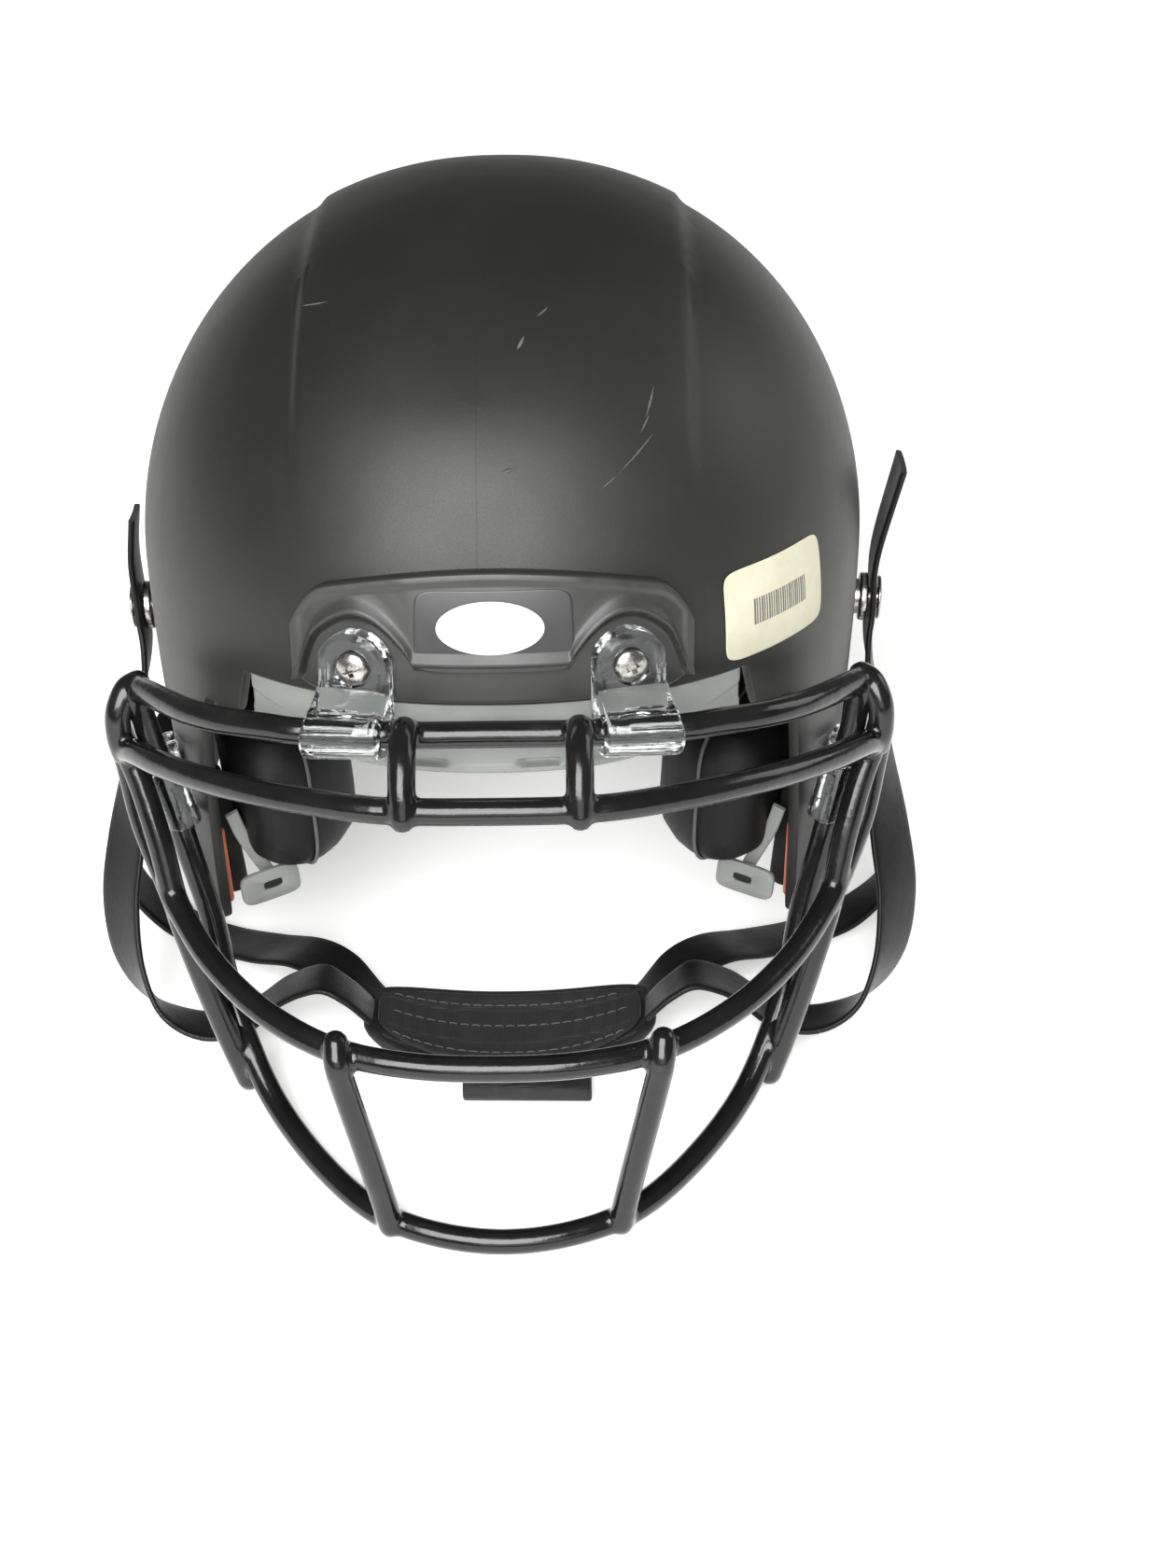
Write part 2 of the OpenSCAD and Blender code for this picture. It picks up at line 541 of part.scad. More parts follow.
// Press snap: socket ring over the stud, and the cap that closes it on the outer side of the strap
module snap() {
    difference() {
        translate([0, 0, 1.7]) cylinder(h = 2.4, d = snap_d, $fn = 40);
        translate([0, 0, 1]) cylinder(h = 2.7, d = stud_d + 0.6, $fn = 28);
    }
    translate([0, 0, 4]) cylinder(h = 3.8, d = 6, $fn = 24);
    translate([0, 0, 7.3]) cylinder(h = 1.2, d1 = snap_d - 2, d2 = snap_d - 5, $fn = 40);
}
module upper_snap_left() color("silver") stand() on_skin(-snap_w, snap_s) snap();
module upper_snap_right() color("silver") stand() on_skin(snap_w, snap_s) snap();
module lower_snap_left() color("silver") stand() on_skin(-low_snap_w, low_snap_s) snap();
module lower_snap_right() color("silver") stand() on_skin(low_snap_w, low_snap_s) snap();

// ---- chin strap --------------------------------------------------------------------------------

// Strap routes, hand laid: centre points, and the direction of the strap's width at each of them
strap_lift = 5.7;      // height of the strap's middle over the skin at a snap
function skin_side(w, s) = unit(cross([0, 0, 1], skin_normal(w, s)));
function skin_up(w, s) = cross(skin_normal(w, s), skin_side(w, s));
function at_snap(w, s, side, up) =
    skin(w, s) + strap_lift * skin_normal(w, s) + side * skin_side(w, s) + up * skin_up(w, s);
// End of the strap above the upper snap: it lies along the shell on the left and stands off it on the right
TAILS = [at_snap(snap_w, snap_s, 2, 30) + lay(-2, 0, 0), lay(121, 12, 19)];
UPPER = [at_snap(snap_w, snap_s, 1, 16), at_snap(snap_w, snap_s, 0, 0),
    at_snap(snap_w, snap_s, -5, -14), lay(115, 38, -64), lay(117.5, 52, -86),
    lay(119.5, 60, -104), lay(117, 67, -121), lay(108, 73, -133.5), lay(94, 76, -139), lay(80, 76, -135.5),
    lay(68, 77.5, -125.5), lay(57, 80, -120.5), lay(51, 81, -122.5)];
snap_across = skin_side(snap_w, snap_s);
UPPER_W = [snap_across, snap_across, snap_across, [0.3, 1, 0.2], [0.6, 0.8, 0.1], [0.7, 0.8, 0],
    [0.6, 0.8, -0.1], [0.4, 0.9, -0.1], [0.1, 1, -0.1], [0, 1, 0], [0, 1, -0.1], [0, 1, -0.1], [0, 1, -0.1]];
LOWER = [at_snap(low_snap_w, low_snap_s, 22, 0), at_snap(low_snap_w, low_snap_s, 0, 0),
    at_snap(low_snap_w, low_snap_s, -20, 0), lay(123, 0, -95), lay(126, 12, -108), lay(121, 20, -121),
    lay(108, 26, -130.5), lay(94, 33, -133), lay(78, 44, -130.5), lay(64, 54, -126.5), lay(52.5, 63, -127.5)];
low_snap_across = skin_up(low_snap_w, low_snap_s);
LOWER_W = [low_snap_across, low_snap_across, low_snap_across, [0, -0.6, 0.9], [0, -0.8, 0.6], [0.3, -0.9, 0.4],
    [0.5, -0.8, 0.2], [0.5, -0.8, 0.1], [0.5, -0.8, 0], [0.5, -0.8, 0], [0.3, -0.9, 0]];

module upper_strap(sx) difference() {
    route = concat([TAILS[sx > 0 ? 1 : 0]], UPPER);
    across = concat([sx > 0 ? [0, 1, 0] : snap_across], UPPER_W);
    ribbon(spline(sx > 0 ? route : flip(route), 3), spline(sx > 0 ? across : flip(across), 3));
    on_skin(sx * snap_w, snap_s) cylinder(h = 30, d = 6.6, center = true, $fn = 24);
}
module lower_strap(sx) difference() {
    ribbon(spline(sx > 0 ? LOWER : flip(LOWER), 3), spline(sx > 0 ? LOWER_W : flip(LOWER_W), 3));
    on_skin(sx * low_snap_w, low_snap_s) cylinder(h = 30, d = 6.6, center = true, $fn = 24);
}
module upper_strap_left() color("#1c1d1f") stand() upper_strap(-1);
module upper_strap_right() color("#1c1d1f") stand() upper_strap(1);
module lower_strap_left() color("#1c1d1f") stand() lower_strap(-1);
module lower_strap_right() color("#1c1d1f") stand() lower_strap(1);

// Soft dished cup: rear edge straight, ends drawn up, a short tab at the front
cup_f = 84;
cup_z = -143.5;
function cup_point(u, v, d) =
    let(x = u * cup_w / 2,
        depth = cup_l * (1 - 0.38 * pow(abs(u), 2.5)),
        f = cup_f - cup_l / 2 + v * depth,
        z = cup_z - (f - cup_f) * 0.21 + 9 * pow(abs(u), 2.2) + 2.5 * pow(abs(2 * v - 1), 3))
    lay(x, f, z + d);
module cup_sheet(d0, d1, inset, n, m) {
    function at(i, j, d) = cup_point((2 * i / n - 1) * (1 - inset), inset + (1 - 2 * inset) * j / m, d);
    between([for (i = [0:n]) [for (j = [0:m]) at(i, j, d0)]], [for (i = [0:n]) [for (j = [0:m]) at(i, j, d1)]]);
}
module chin_cup() color("#1f2022") stand() cup_sheet(-cup_t / 2, cup_t / 2, 0, 16, 7);
module cup_lining() color("#2a2b2d") stand() cup_sheet(cup_t / 2 + fit, cup_t / 2 + 2.4, 0.1, 14, 5);

outer_shell();
front_bumper();
front_emblem();
brow_band();
rear_bumper();
size_label();
bonnet();
crown_cells();
front_cells();
rear_cells();
side_cells_left();
side_cells_right();
crown_pad();
forehead_pad();
rear_pad();
temple_pads();
jaw_pad_left();
jaw_pad_right();
jaw_carrier_left();
jaw_carrier_right();
jaw_trim_left();
jaw_trim_right();
brow_bar();
eye_bar();
jaw_bar();
chin_bar();
nose_stubs();
end_links();
side_upright_left();
side_upright_right();
front_upright_left();
front_upright_right();
brow_clip_left();
brow_clip_right();
side_clip_left();
side_clip_right();
brow_screws();
side_screws();
clip_nuts();
snap_studs();
upper_snap_left();
upper_snap_right();
lower_snap_left();
lower_snap_right();
upper_strap_left();
upper_strap_right();
lower_strap_left();
lower_strap_right();
chin_cup();
cup_lining();
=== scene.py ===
import json
import math

import bmesh
import bpy
import numpy as np
from mathutils import Matrix, Vector

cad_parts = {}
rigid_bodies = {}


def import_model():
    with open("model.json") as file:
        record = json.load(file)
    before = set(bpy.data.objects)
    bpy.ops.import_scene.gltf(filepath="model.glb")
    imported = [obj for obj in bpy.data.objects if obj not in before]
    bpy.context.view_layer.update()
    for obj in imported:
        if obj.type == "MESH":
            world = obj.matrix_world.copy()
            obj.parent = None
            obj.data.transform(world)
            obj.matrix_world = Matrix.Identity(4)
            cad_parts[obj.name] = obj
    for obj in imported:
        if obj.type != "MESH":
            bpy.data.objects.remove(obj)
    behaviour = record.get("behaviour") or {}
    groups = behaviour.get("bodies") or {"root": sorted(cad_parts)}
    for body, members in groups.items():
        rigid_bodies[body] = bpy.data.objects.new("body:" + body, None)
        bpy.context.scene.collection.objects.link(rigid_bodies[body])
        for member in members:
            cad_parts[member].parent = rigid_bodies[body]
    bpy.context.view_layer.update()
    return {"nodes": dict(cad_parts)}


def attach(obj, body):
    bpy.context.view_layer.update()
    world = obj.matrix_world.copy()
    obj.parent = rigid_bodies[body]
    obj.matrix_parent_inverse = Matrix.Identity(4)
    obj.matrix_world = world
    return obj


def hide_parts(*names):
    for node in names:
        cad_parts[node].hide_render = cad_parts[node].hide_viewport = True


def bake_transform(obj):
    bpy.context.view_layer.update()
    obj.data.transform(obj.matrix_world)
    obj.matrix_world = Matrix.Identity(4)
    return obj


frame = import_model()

rng = np.random.default_rng(7)
HELMET = "helmet"

# ---- layout of the worn helmet, in mm: the same formulas as the CAD source -------------------------
A, BF, BR, CR = 109.0, 128.0, 130.0, 104.0
PLAN, SIDE_P = 2.2, 2.06
WALL, WIRE = 3.6, 7.4
TILT = math.radians(13.1)
BROW_Z = -6.0


def cosd(a): return np.cos(np.radians(a))
def sind(a): return np.sin(np.radians(a))


def smooth(a, b, x):
    t = np.clip((np.asarray(x, float) - a) / (b - a), 0, 1)
    return t * t * (3 - 2 * t)


def mix(a, b, t): return a * (1 - t) + b * t


def latitude(z):
    z = np.asarray(z, float)
    return np.where(z > 0, np.degrees(np.arcsin(np.clip(z / CR, -1, 1))), np.degrees(z / CR))


def skin(w, s, d=0.0):
    w, s, d = np.broadcast_arrays(np.asarray(w, float), np.asarray(s, float), np.asarray(d, float))
    z = np.where(s > 0, (CR + d) * sind(s), CR * np.radians(s))
    k = np.where(s > 0, np.maximum(0, 1 - np.clip(z / (CR + d), 0, 1) ** SIDE_P) ** (1 / SIDE_P), 1.0)
    low = np.maximum(0, -z) ** 1.65
    a = (A + d) * k - 0.004 * low
    b = np.where(cosd(w) > 0, (BF + d) * k - 0.002 * low, (BR + d) * k - 0.0115 * low)
    a, b = np.maximum(a, 1e-6), np.maximum(b, 1e-6)
    r = ((np.abs(sind(w)) / a) ** PLAN + (np.abs(cosd(w)) / b) ** PLAN) ** (-1 / PLAN)
    return np.stack([r * sind(w), -r * cosd(w), z], -1)


def azimuth(x, s, d=0.0):
    x, s = np.asarray(x, float), np.asarray(s, float)
    z = np.where(s > 0, (CR + d) * sind(s), CR * np.radians(s))
    k = np.where(s > 0, np.maximum(0, 1 - np.clip(z / (CR + d), 0, 1) ** SIDE_P) ** (1 / SIDE_P), 1.0)
    low = np.maximum(0, -z) ** 1.65
    a = (A + d) * k - 0.004 * low
    b = (BF + d) * k - 0.002 * low
    y = b * np.maximum(1e-4, 1 - (np.minimum(np.abs(x), a - 0.1) / a) ** PLAN) ** (1 / PLAN)
    return np.sign(x) * np.degrees(np.arctan2(np.abs(x), y))


def unit(v):
    v = np.asarray(v, float)
    return v / np.maximum(1e-12, np.linalg.norm(v, axis=-1, keepdims=True))


def normal_at(w, s, d=0.0):
    return unit(np.cross(skin(w + 0.5, s, d) - skin(w - 0.5, s, d), skin(w, s + 0.5, d) - skin(w, s - 0.5, d)))


def rim(w):
    v = np.abs(w)
    brow = mix(BROW_Z, -21.0, smooth(33.5, 36.5, v)) - 0.03 * np.maximum(0, v - 35)
    flap = mix(brow, -107.0, smooth(43, 54, v))
    ear = mix(flap, -92.0, smooth(80, 100, v))
    return mix(ear, -106.0, smooth(112, 150, v))


def turned(p):
    p = np.asarray(p, float)
    c, s = math.cos(TILT), math.sin(TILT)
    return np.stack([p[..., 0], p[..., 1] * c + p[..., 2] * s, -p[..., 1] * s + p[..., 2] * c], -1)


low_front = turned([0, -155, -163])
low_rear = min(turned(skin(w, latitude(rim(w))))[2] for w in range(150, 181, 5))
STAND_Z = -min(low_front[2] - WIRE / 2, low_rear)
rear_end = max(turned(skin(180, s))[1] for s in range(-30, 41, 2))
STAND_Y = -(low_front[1] - WIRE / 2 + rear_end) / 2


def rest(p):
    """Worn frame in mm to the CAD's frame in metres."""
    return (turned(p) + np.array([0, STAND_Y, STAND_Z])) / 1000


def on_skin(w, s, d=0.0):
    """Rotation columns (side, up, normal) and point at the skin, worn frame."""
    n = normal_at(w, s, d)
    side = unit(np.cross([0, 0, 1], n))
    return np.stack([side, np.cross(n, side), n], 1), skin(w, s, d)


def lay(x, f, z): return np.array([x, -f, z], float)


# ---- layout values ---------------------------------------------------------------------------------
CLIP_X = 35.0
CLIP_S = float(latitude(5.2))
CLIP_W = float(azimuth(CLIP_X, CLIP_S))
SIDE_W, SIDE_S = 60.0, float(latitude(-58))
SNAP_W, SNAP_S = 84.0, float(latitude(-25))
LOW_W, LOW_S = 112.0, float(latitude(-78))


# ---- mesh helpers ----------------------------------------------------------------------------------

def make(name, verts, faces, mat, body=HELMET, angle=40, slot=None, worn=True):
    co = rest(verts) if worn else np.asarray(verts, float)
    me = bpy.data.meshes.new(name)
    me.from_pydata([tuple(map(float, v)) for v in co], [], [tuple(int(i) for i in f) for f in faces])
    me.validate()
    bm = bmesh.new()
    bm.from_mesh(me)
    bmesh.ops.remove_doubles(bm, verts=bm.verts, dist=1e-6)
    bmesh.ops.recalc_face_normals(bm, faces=bm.faces)
    bm.to_mesh(me)
    bm.free()
    ob = bpy.data.objects.new(name, me)
    bpy.context.scene.collection.objects.link(ob)
    finish_mesh(ob, mat, angle)
    if body:
        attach(ob, body)
    return ob


def finish_mesh(ob, mat, angle=40):
    me = ob.data
    me.materials.clear()
    me.materials.append(mat)
    me.shade_smooth()
    if angle:
        me.set_sharp_from_angle(angle=math.radians(angle))


def bake(ob):
    """Modifiers applied to the mesh."""
    dg = bpy.context.evaluated_depsgraph_get()
    me = bpy.data.meshes.new_from_object(ob.evaluated_get(dg))
    ob.modifiers.clear()
    old = ob.data
    ob.data = me
    bpy.data.meshes.remove(old)


def join_parts(parts):
    verts, faces, base = [], [], 0
    for v, f in parts:
        v = np.asarray(v, float).reshape(-1, 3)
        verts.append(v)
        faces += [tuple(base + i for i in g) for g in f]
        base += len(v)
    return np.concatenate(verts), faces


def grid_faces(n, m, wrap=False, start=0):
    """Quads of an n x m grid of points [column][row]."""
    out = []
    for i in range(n if wrap else n - 1):
        k = (i + 1) % n
        for j in range(m - 1):
            out.append((start + i * m + j, start + i * m + j + 1, start + k * m + j + 1, start + k * m + j))
    return out


def slab(O, I, wrap=False, skirt=False):
    """Mesh between two n x m sheets of points; skirt closes their borders where they do not meet."""
    n, m = O.shape[:2]
    F = grid_faces(n, m, wrap) + [tuple(reversed(f)) for f in grid_faces(n, m, wrap, n * m)]
    if skirt:
        columns, rows = range(n), range(m)
        for line in ([i * m for i in columns], [i * m + m - 1 for i in reversed(columns)],
                     list(reversed(rows)), [(n - 1) * m + j for j in rows]):
            F += [(a, b, b + n * m, a + n * m) for a, b in zip(line[:-1], line[1:])]
    return np.concatenate([O.reshape(-1, 3), I.reshape(-1, 3)]), F


def closed_ring(G):
    """Mesh of columns of points that run once round, with the open ends of the columns capped."""
    n, m = G.shape[:2]
    caps = [tuple(i * m for i in range(n)), tuple(i * m + m - 1 for i in reversed(range(n)))]
    return G.reshape(-1, 3), grid_faces(n, m, True) + caps


def loft(rings, back=False, loop=False):
    """Mesh through closed rings of points, with end caps unless the last ring joins the first."""
    G = np.asarray(rings, float)
    n, m = G.shape[:2]
    F = []
    for i in range(n if loop else n - 1):
        a, b = i * m, (i + 1) % n * m
        for j in range(m):
            k = (j + 1) % m
            F.append((a + j, b + j, b + k, a + k) if back else (a + j, a + k, b + k, b + j))
    if not loop:
        first, last = range(m), range((n - 1) * m, n * m)
        F += [tuple(first), tuple(reversed(last))] if back else [tuple(reversed(first)), tuple(last)]
    return G.reshape(-1, 3), F


def carve(ob, cutters, mat):
    """Every cutter, a (points, faces) pair, taken out of the mesh."""
    for i, (v, f) in enumerate(cutters):
        md = ob.modifiers.new(f"cut{i}", "BOOLEAN")
        md.operation, md.solver, md.object = "DIFFERENCE", "EXACT", make(f"cutter_{i}", v, f, mat, None, 0)
    bake(ob)
    for o in [o for o in bpy.data.objects if o.name.startswith("cutter_")]:
        bpy.data.objects.remove(o)


def spun(M, degrees):
    """Frame M turned about its third axis."""
    c, s = math.cos(math.radians(degrees)), math.sin(math.radians(degrees))
    return M @ np.array([[c, -s, 0], [s, c, 0], [0, 0, 1.0]])


def circle(n, start=0.0):
    return np.linspace(start, start + 2 * math.pi, n, endpoint=False)


def eased(n, share):
    """n numbers from -1 to 1 that crowd towards both ends; share says how much."""
    t = np.linspace(-1, 1, n)
    return np.sin(t * math.pi / 2) * share + t * (1 - share)


def round_edge(e):
    """Height of a rounded edge at e, the distance from the border in shares of the rounding: 0 at 0, 1 from 1 on."""
    return np.sqrt(np.maximum(0, 1 - (1 - np.clip(e, 0, 1)) ** 2))


def catmull(P, steps):
    P = np.asarray(P, float)
    ext = np.concatenate([[2 * P[0] - P[1]], P, [2 * P[-1] - P[-2]]])
    out = []
    for i in range(len(P) - 1):
        a, b, c, e = ext[i], ext[i + 1], ext[i + 2], ext[i + 3]
        for k in range(steps):
            t = k / steps
            out.append((2 * b + (c - a) * t + (2 * a - 5 * b + 4 * c - e) * t * t
                        + (3 * b - a - 3 * c + e) * t ** 3) / 2)
    out.append(P[-1])
    return np.array(out)


def frames_along(C):
    """Tangent and two crossing directions along C that turn no more than the curve does."""
    T = unit(np.gradient(C, axis=0))
    a = np.zeros_like(C)
    start = np.array([0.0, 0.3, 1.0])
    v = unit(start - T[0] * (start @ T[0]))
    for i in range(len(C)):
        v = unit(v - T[i] * (v @ T[i]))
        a[i] = v
    return T, a, np.cross(T, a)


def tube(C, r, sides=20, caps=True):
    """Round tube along C with domed ends; r is a number or a list along C."""
    C = np.asarray(C, float)
    r = np.broadcast_to(np.asarray(r, float), (len(C),)).copy()
    T, a, b = frames_along(C)
    rings, radii, Aa, Ba = list(C), list(r), list(a), list(b)
    if caps:
        for g in (30, 60, 82):
            rings.insert(0, C[0] - T[0] * r[0] * math.sin(math.radians(g)))
            radii.insert(0, r[0] * math.cos(math.radians(g)))
            Aa.insert(0, a[0]); Ba.insert(0, b[0])
            rings.append(C[-1] + T[-1] * r[-1] * math.sin(math.radians(g)))
            radii.append(r[-1] * math.cos(math.radians(g)))
            Aa.append(a[-1]); Ba.append(b[-1])
    ang = circle(sides)
    return loft([[p + rad * (math.cos(g) * x + math.sin(g) * y) for g in ang]
                 for p, rad, x, y in zip(rings, radii, Aa, Ba)])


def lathe(profile, M, p, seg=48):
    """Solid turned from (radius, height) points, placed by the columns of M at p."""
    ang = circle(seg)
    return loft([[p + M @ np.array([r * math.cos(g), r * math.sin(g), z]) for g in ang] for r, z in profile])


def arc(cx, cz, r, a0, a1, n=6):
    return [(cx + r * math.cos(math.radians(a)), cz + r * math.sin(math.radians(a))) for a in np.linspace(a0, a1, n)]


MM_PER_DEGREE = 1.9    # along the skin, across the helmet


def squircle(th, power):
    """Distance to a rounded square's border at the angles th."""
    return (np.abs(np.cos(th)) ** power + np.abs(np.sin(th)) ** power) ** (-1 / power)


def pillow(w, z, half_w, half_h, d_out, d_in, power=4.0, edge=3.0, nt=112, nr=26, crown=0.0,
           bumps=None):
    """Closed pad on the skin: its faces meet round the border, and inside it they stand d_out and d_in off the skin."""
    th = circle(nt)
    R = squircle(th, power)
    rho = np.repeat(np.sin(np.linspace(0, 1, nr) * math.pi / 2)[None, :], nt, 0)
    size = min(half_h, half_w * MM_PER_DEGREE)
    U = rho * (R * np.cos(th))[:, None]
    V = rho * (R * np.sin(th))[:, None]
    h = round_edge((1 - rho) * size / edge)
    mid, half = (d_out + d_in) / 2, (d_out - d_in) / 2
    lift = crown * (1 - rho ** 2)
    s = latitude(z + V * half_h)
    o = skin(w + U * half_w, s, mid + half * h + (bumps(U, V) * h if bumps is not None else 0))
    i = skin(w + U * half_w, s, mid - half * h - lift)
    return slab(o, i, wrap=True)


def border(w, z, half_w, half_h, d, power=4.0, nt=120):
    """Closed line round a pillow's border, at d off the skin."""
    th = np.linspace(0, 2 * math.pi, nt + 1)
    R = squircle(th, power)
    return skin(w + R * np.cos(th) * half_w, latitude(z + R * np.sin(th) * half_h), d)


def ribbon(C, W, width, thick, nw=8, crown=0.0):
    """Strap along C with rounded edges; W is the direction of its width at every station."""
    C, W = np.asarray(C, float), np.asarray(W, float)
    T = unit(np.gradient(C, axis=0))
    a = unit(W - T * np.sum(W * T, -1, keepdims=True))
    b = np.cross(T, a)
    width = np.broadcast_to(np.asarray(width, float), (len(C),))
    sect = []    # across the width, through the thickness, bulge of the rounded edge
    for way in (1, -1):
        sect += [(u * way * 0.5, way * 0.5, 0.0) for u in np.linspace(-1, 1, nw)]
        sect += [(way * 0.5, way * 0.5 * math.sin(math.radians(g)), way * 0.5 * math.cos(math.radians(g)))
                 for g in (60, 30, 0, -30, -60)]
    edge = thick * 0.9
    return loft([[c + ai * ((wide - edge) * x + bulge * edge) + bi * (y * thick + crown * (1 - (2 * x) ** 2))
                  for x, y, bulge in sect] for c, ai, bi, wide in zip(C, a, b, width)], back=True)


# ---- materials -------------------------------------------------------------------------------------

def fill(node, **values):
    """Values of a shader node's inputs by name, with _ for a space."""
    for name, v in values.items():
        node.inputs[name.replace("_", " ")].default_value = v


class Nodes:
    """A material's node tree with its Principled shader p and its object coordinates co."""

    def __init__(self, name):
        self.mat = bpy.data.materials.new(name)
        self.mat.use_nodes = True
        self.t = self.mat.node_tree
        self.p = self.t.nodes["Principled BSDF"]
        self.co = self.add("ShaderNodeTexCoord").outputs["Object"]

    def add(self, kind, **props):
        n = self.t.nodes.new(kind)
        for k, v in props.items():
            setattr(n, k, v)
        return n

    def link(self, a, b): self.t.links.new(a, b)
    def into(self, name, socket): self.link(socket, self.p.inputs[name])

    def noise(self, scale, detail=4, rough=0.55, stretch=None, distortion=0.0):
        n = self.add("ShaderNodeTexNoise")
        fill(n, Scale=scale, Detail=detail, Roughness=rough, Distortion=distortion)
        if stretch:
            m = self.add("ShaderNodeMapping")
            fill(m, Scale=stretch)
            self.link(self.co, m.inputs["Vector"])
            self.link(m.outputs[0], n.inputs["Vector"])
        else:
            self.link(self.co, n.inputs["Vector"])
        return n.outputs["Fac"]

    def ramp(self, fac, stops):
        r = self.add("ShaderNodeValToRGB")
        el = r.color_ramp.elements
        while len(el) < len(stops):
            el.new(0.5)
        for e, (pos, col) in zip(el, stops):
            e.position = pos
            e.color = (*col, 1) if len(col) == 3 else col
        self.link(fac, r.inputs[0])
        return r.outputs[0]

    def grey(self, fac, a, b, lo=0.3, hi=0.7):
        m = self.add("ShaderNodeMapRange")
        fill(m, From_Min=lo, From_Max=hi, To_Min=a, To_Max=b)
        self.link(fac, m.inputs["Value"])
        return m.outputs[0]

    def math(self, op, a, b=None, clamp=False):
        n = self.add("ShaderNodeMath", operation=op, use_clamp=clamp)
        for sock, v in zip(n.inputs, (a, b)):
            if v is None:
                continue
            if isinstance(v, (int, float)):
                sock.default_value = v
            else:
                self.link(v, sock)
        return n.outputs[0]

    def bump(self, height, strength, distance, under=None):
        b = self.add("ShaderNodeBump")
        fill(b, Strength=strength, Distance=distance)
        self.link(height, b.inputs["Height"])
        if under is not None:
            self.link(under, b.inputs["Normal"])
        return b.outputs[0]


def tone(c, k): return tuple(min(1.0, x * k) for x in c)


def plastic(name, col, rough, var=0.12, grain=1400, grain_bump=0.12, wave=None, spec=0.5, coat=0.0, mottle=60):
    """Moulded or painted plastic: mottled tone, fine grain, uneven gloss and small rub marks."""
    n = Nodes(name)
    big, fine = n.noise(mottle, 5), n.noise(grain, 3, 0.6)
    n.into("Base Color", n.ramp(big, [(0.3, tone(col, 1 - var)), (0.55, col), (0.75, tone(col, 1 + var))]))
    rub = n.noise(220, 6, 0.7, (1, 1, 0.35))
    n.into("Roughness", n.math("ADD", n.grey(big, -0.05, 0.05), n.grey(rub, rough + 0.04, rough - 0.04, 0.35, 0.75)))
    nm = n.bump(fine, grain_bump, 0.0002)
    if wave:
        nm = n.bump(n.noise(wave[0], 2), wave[1], 0.001, nm)
    n.into("Normal", nm)
    fill(n.p, Specular_IOR_Level=spec, Coat_Weight=coat, Coat_Roughness=0.12)
    return n.mat


def shell_material():
    """Matte paint over plastic: soft mottling, orange peel, fine speckle, and the faint mould line down the middle."""
    n = Nodes("matte_shell_paint")
    big, peel, speck = n.noise(24, 4), n.noise(950, 3, 0.6), n.noise(2600, 2)
    base = n.ramp(big, [(0.3, (0.0088, 0.0088, 0.0073)), (0.6, (0.0110, 0.0109, 0.0092)),
                        (0.8, (0.0135, 0.0133, 0.0112))])
    dust = n.ramp(n.noise(160, 9, 0.78), [(0.60, (0, 0, 0)), (0.78, (0.010, 0.010, 0.0095))])
    add = n.add("ShaderNodeMix", data_type="RGBA", blend_type="ADD")
    add.inputs[0].default_value = 1.0
    n.link(base, add.inputs[6]); n.link(dust, add.inputs[7])
    n.into("Base Color", add.outputs[2])
    n.into("Roughness", n.math("ADD", n.grey(big, 0.47, 0.53), n.grey(speck, -0.03, 0.03)))
    sep = n.add("ShaderNodeSeparateXYZ")
    n.link(n.co, sep.inputs[0])
    off = n.math("ADD", sep.outputs[0], 0.0035)
    line = n.math("POWER", 2.718, n.math("MULTIPLY", n.math("MULTIPLY", off, off), -1 / 0.00035 ** 2))
    nm = n.bump(peel, 0.10, 0.00025)
    nm = n.bump(line, 0.25, 0.0002, nm)
    nm = n.bump(n.noise(38, 2), 0.10, 0.002, nm)
    n.into("Normal", nm)
    fill(n.p, Specular_IOR_Level=0.46)
    return n.mat


def wire_material():
    """Dipped black vinyl: glossy skin with slow waves, pin holes and slightly greyed rub patches."""
    n = Nodes("dipped_vinyl_wire")
    big, fine = n.noise(70, 5), n.noise(900, 4)
    n.into("Base Color", n.ramp(big, [(0.35, (0.0045, 0.0045, 0.0045)), (0.62, (0.0075, 0.0075, 0.0073)),
                                      (0.8, (0.016, 0.016, 0.0155))]))
    n.into("Roughness", n.math("ADD", n.grey(big, 0.13, 0.22), n.grey(fine, -0.03, 0.05)))
    nm = n.bump(n.noise(240, 3, 0.5), 0.16, 0.0009)
    nm = n.bump(fine, 0.05, 0.0003, nm)
    n.into("Normal", nm)
    fill(n.p, Specular_IOR_Level=0.34, Coat_Weight=0.22, Coat_Roughness=0.08)
    return n.mat


def clear_material():
    """Clear moulded plastic with faint flow marks and fine wear."""
    n = Nodes("clear_clip_plastic")
    flow = n.noise(120, 3, 0.5, (1, 1, 2.5), 0.6)
    n.into("Base Color", n.ramp(flow, [(0.3, (0.90, 0.92, 0.93)), (0.7, (0.97, 0.98, 0.98))]))
    n.into("Roughness", n.grey(n.noise(500, 6, 0.7), 0.03, 0.09))
    n.into("Normal", n.bump(flow, 0.16, 0.001))
    fill(n.p, Specular_IOR_Level=0.4, Transmission_Weight=1.0, IOR=1.46)
    return n.mat


def metal_material():
    n = Nodes("zinc_plated_steel")
    big, brush = n.noise(300, 5), n.noise(900, 5, 0.6, (1, 6, 1))
    n.into("Base Color", n.ramp(big, [(0.3, (0.30, 0.29, 0.27)), (0.6, (0.44, 0.43, 0.40)), (0.8, (0.54, 0.53, 0.50))]))
    n.into("Roughness", n.grey(brush, 0.18, 0.36))
    n.into("Normal", n.bump(brush, 0.08, 0.0002))
    fill(n.p, Metallic=1.0)
    return n.mat


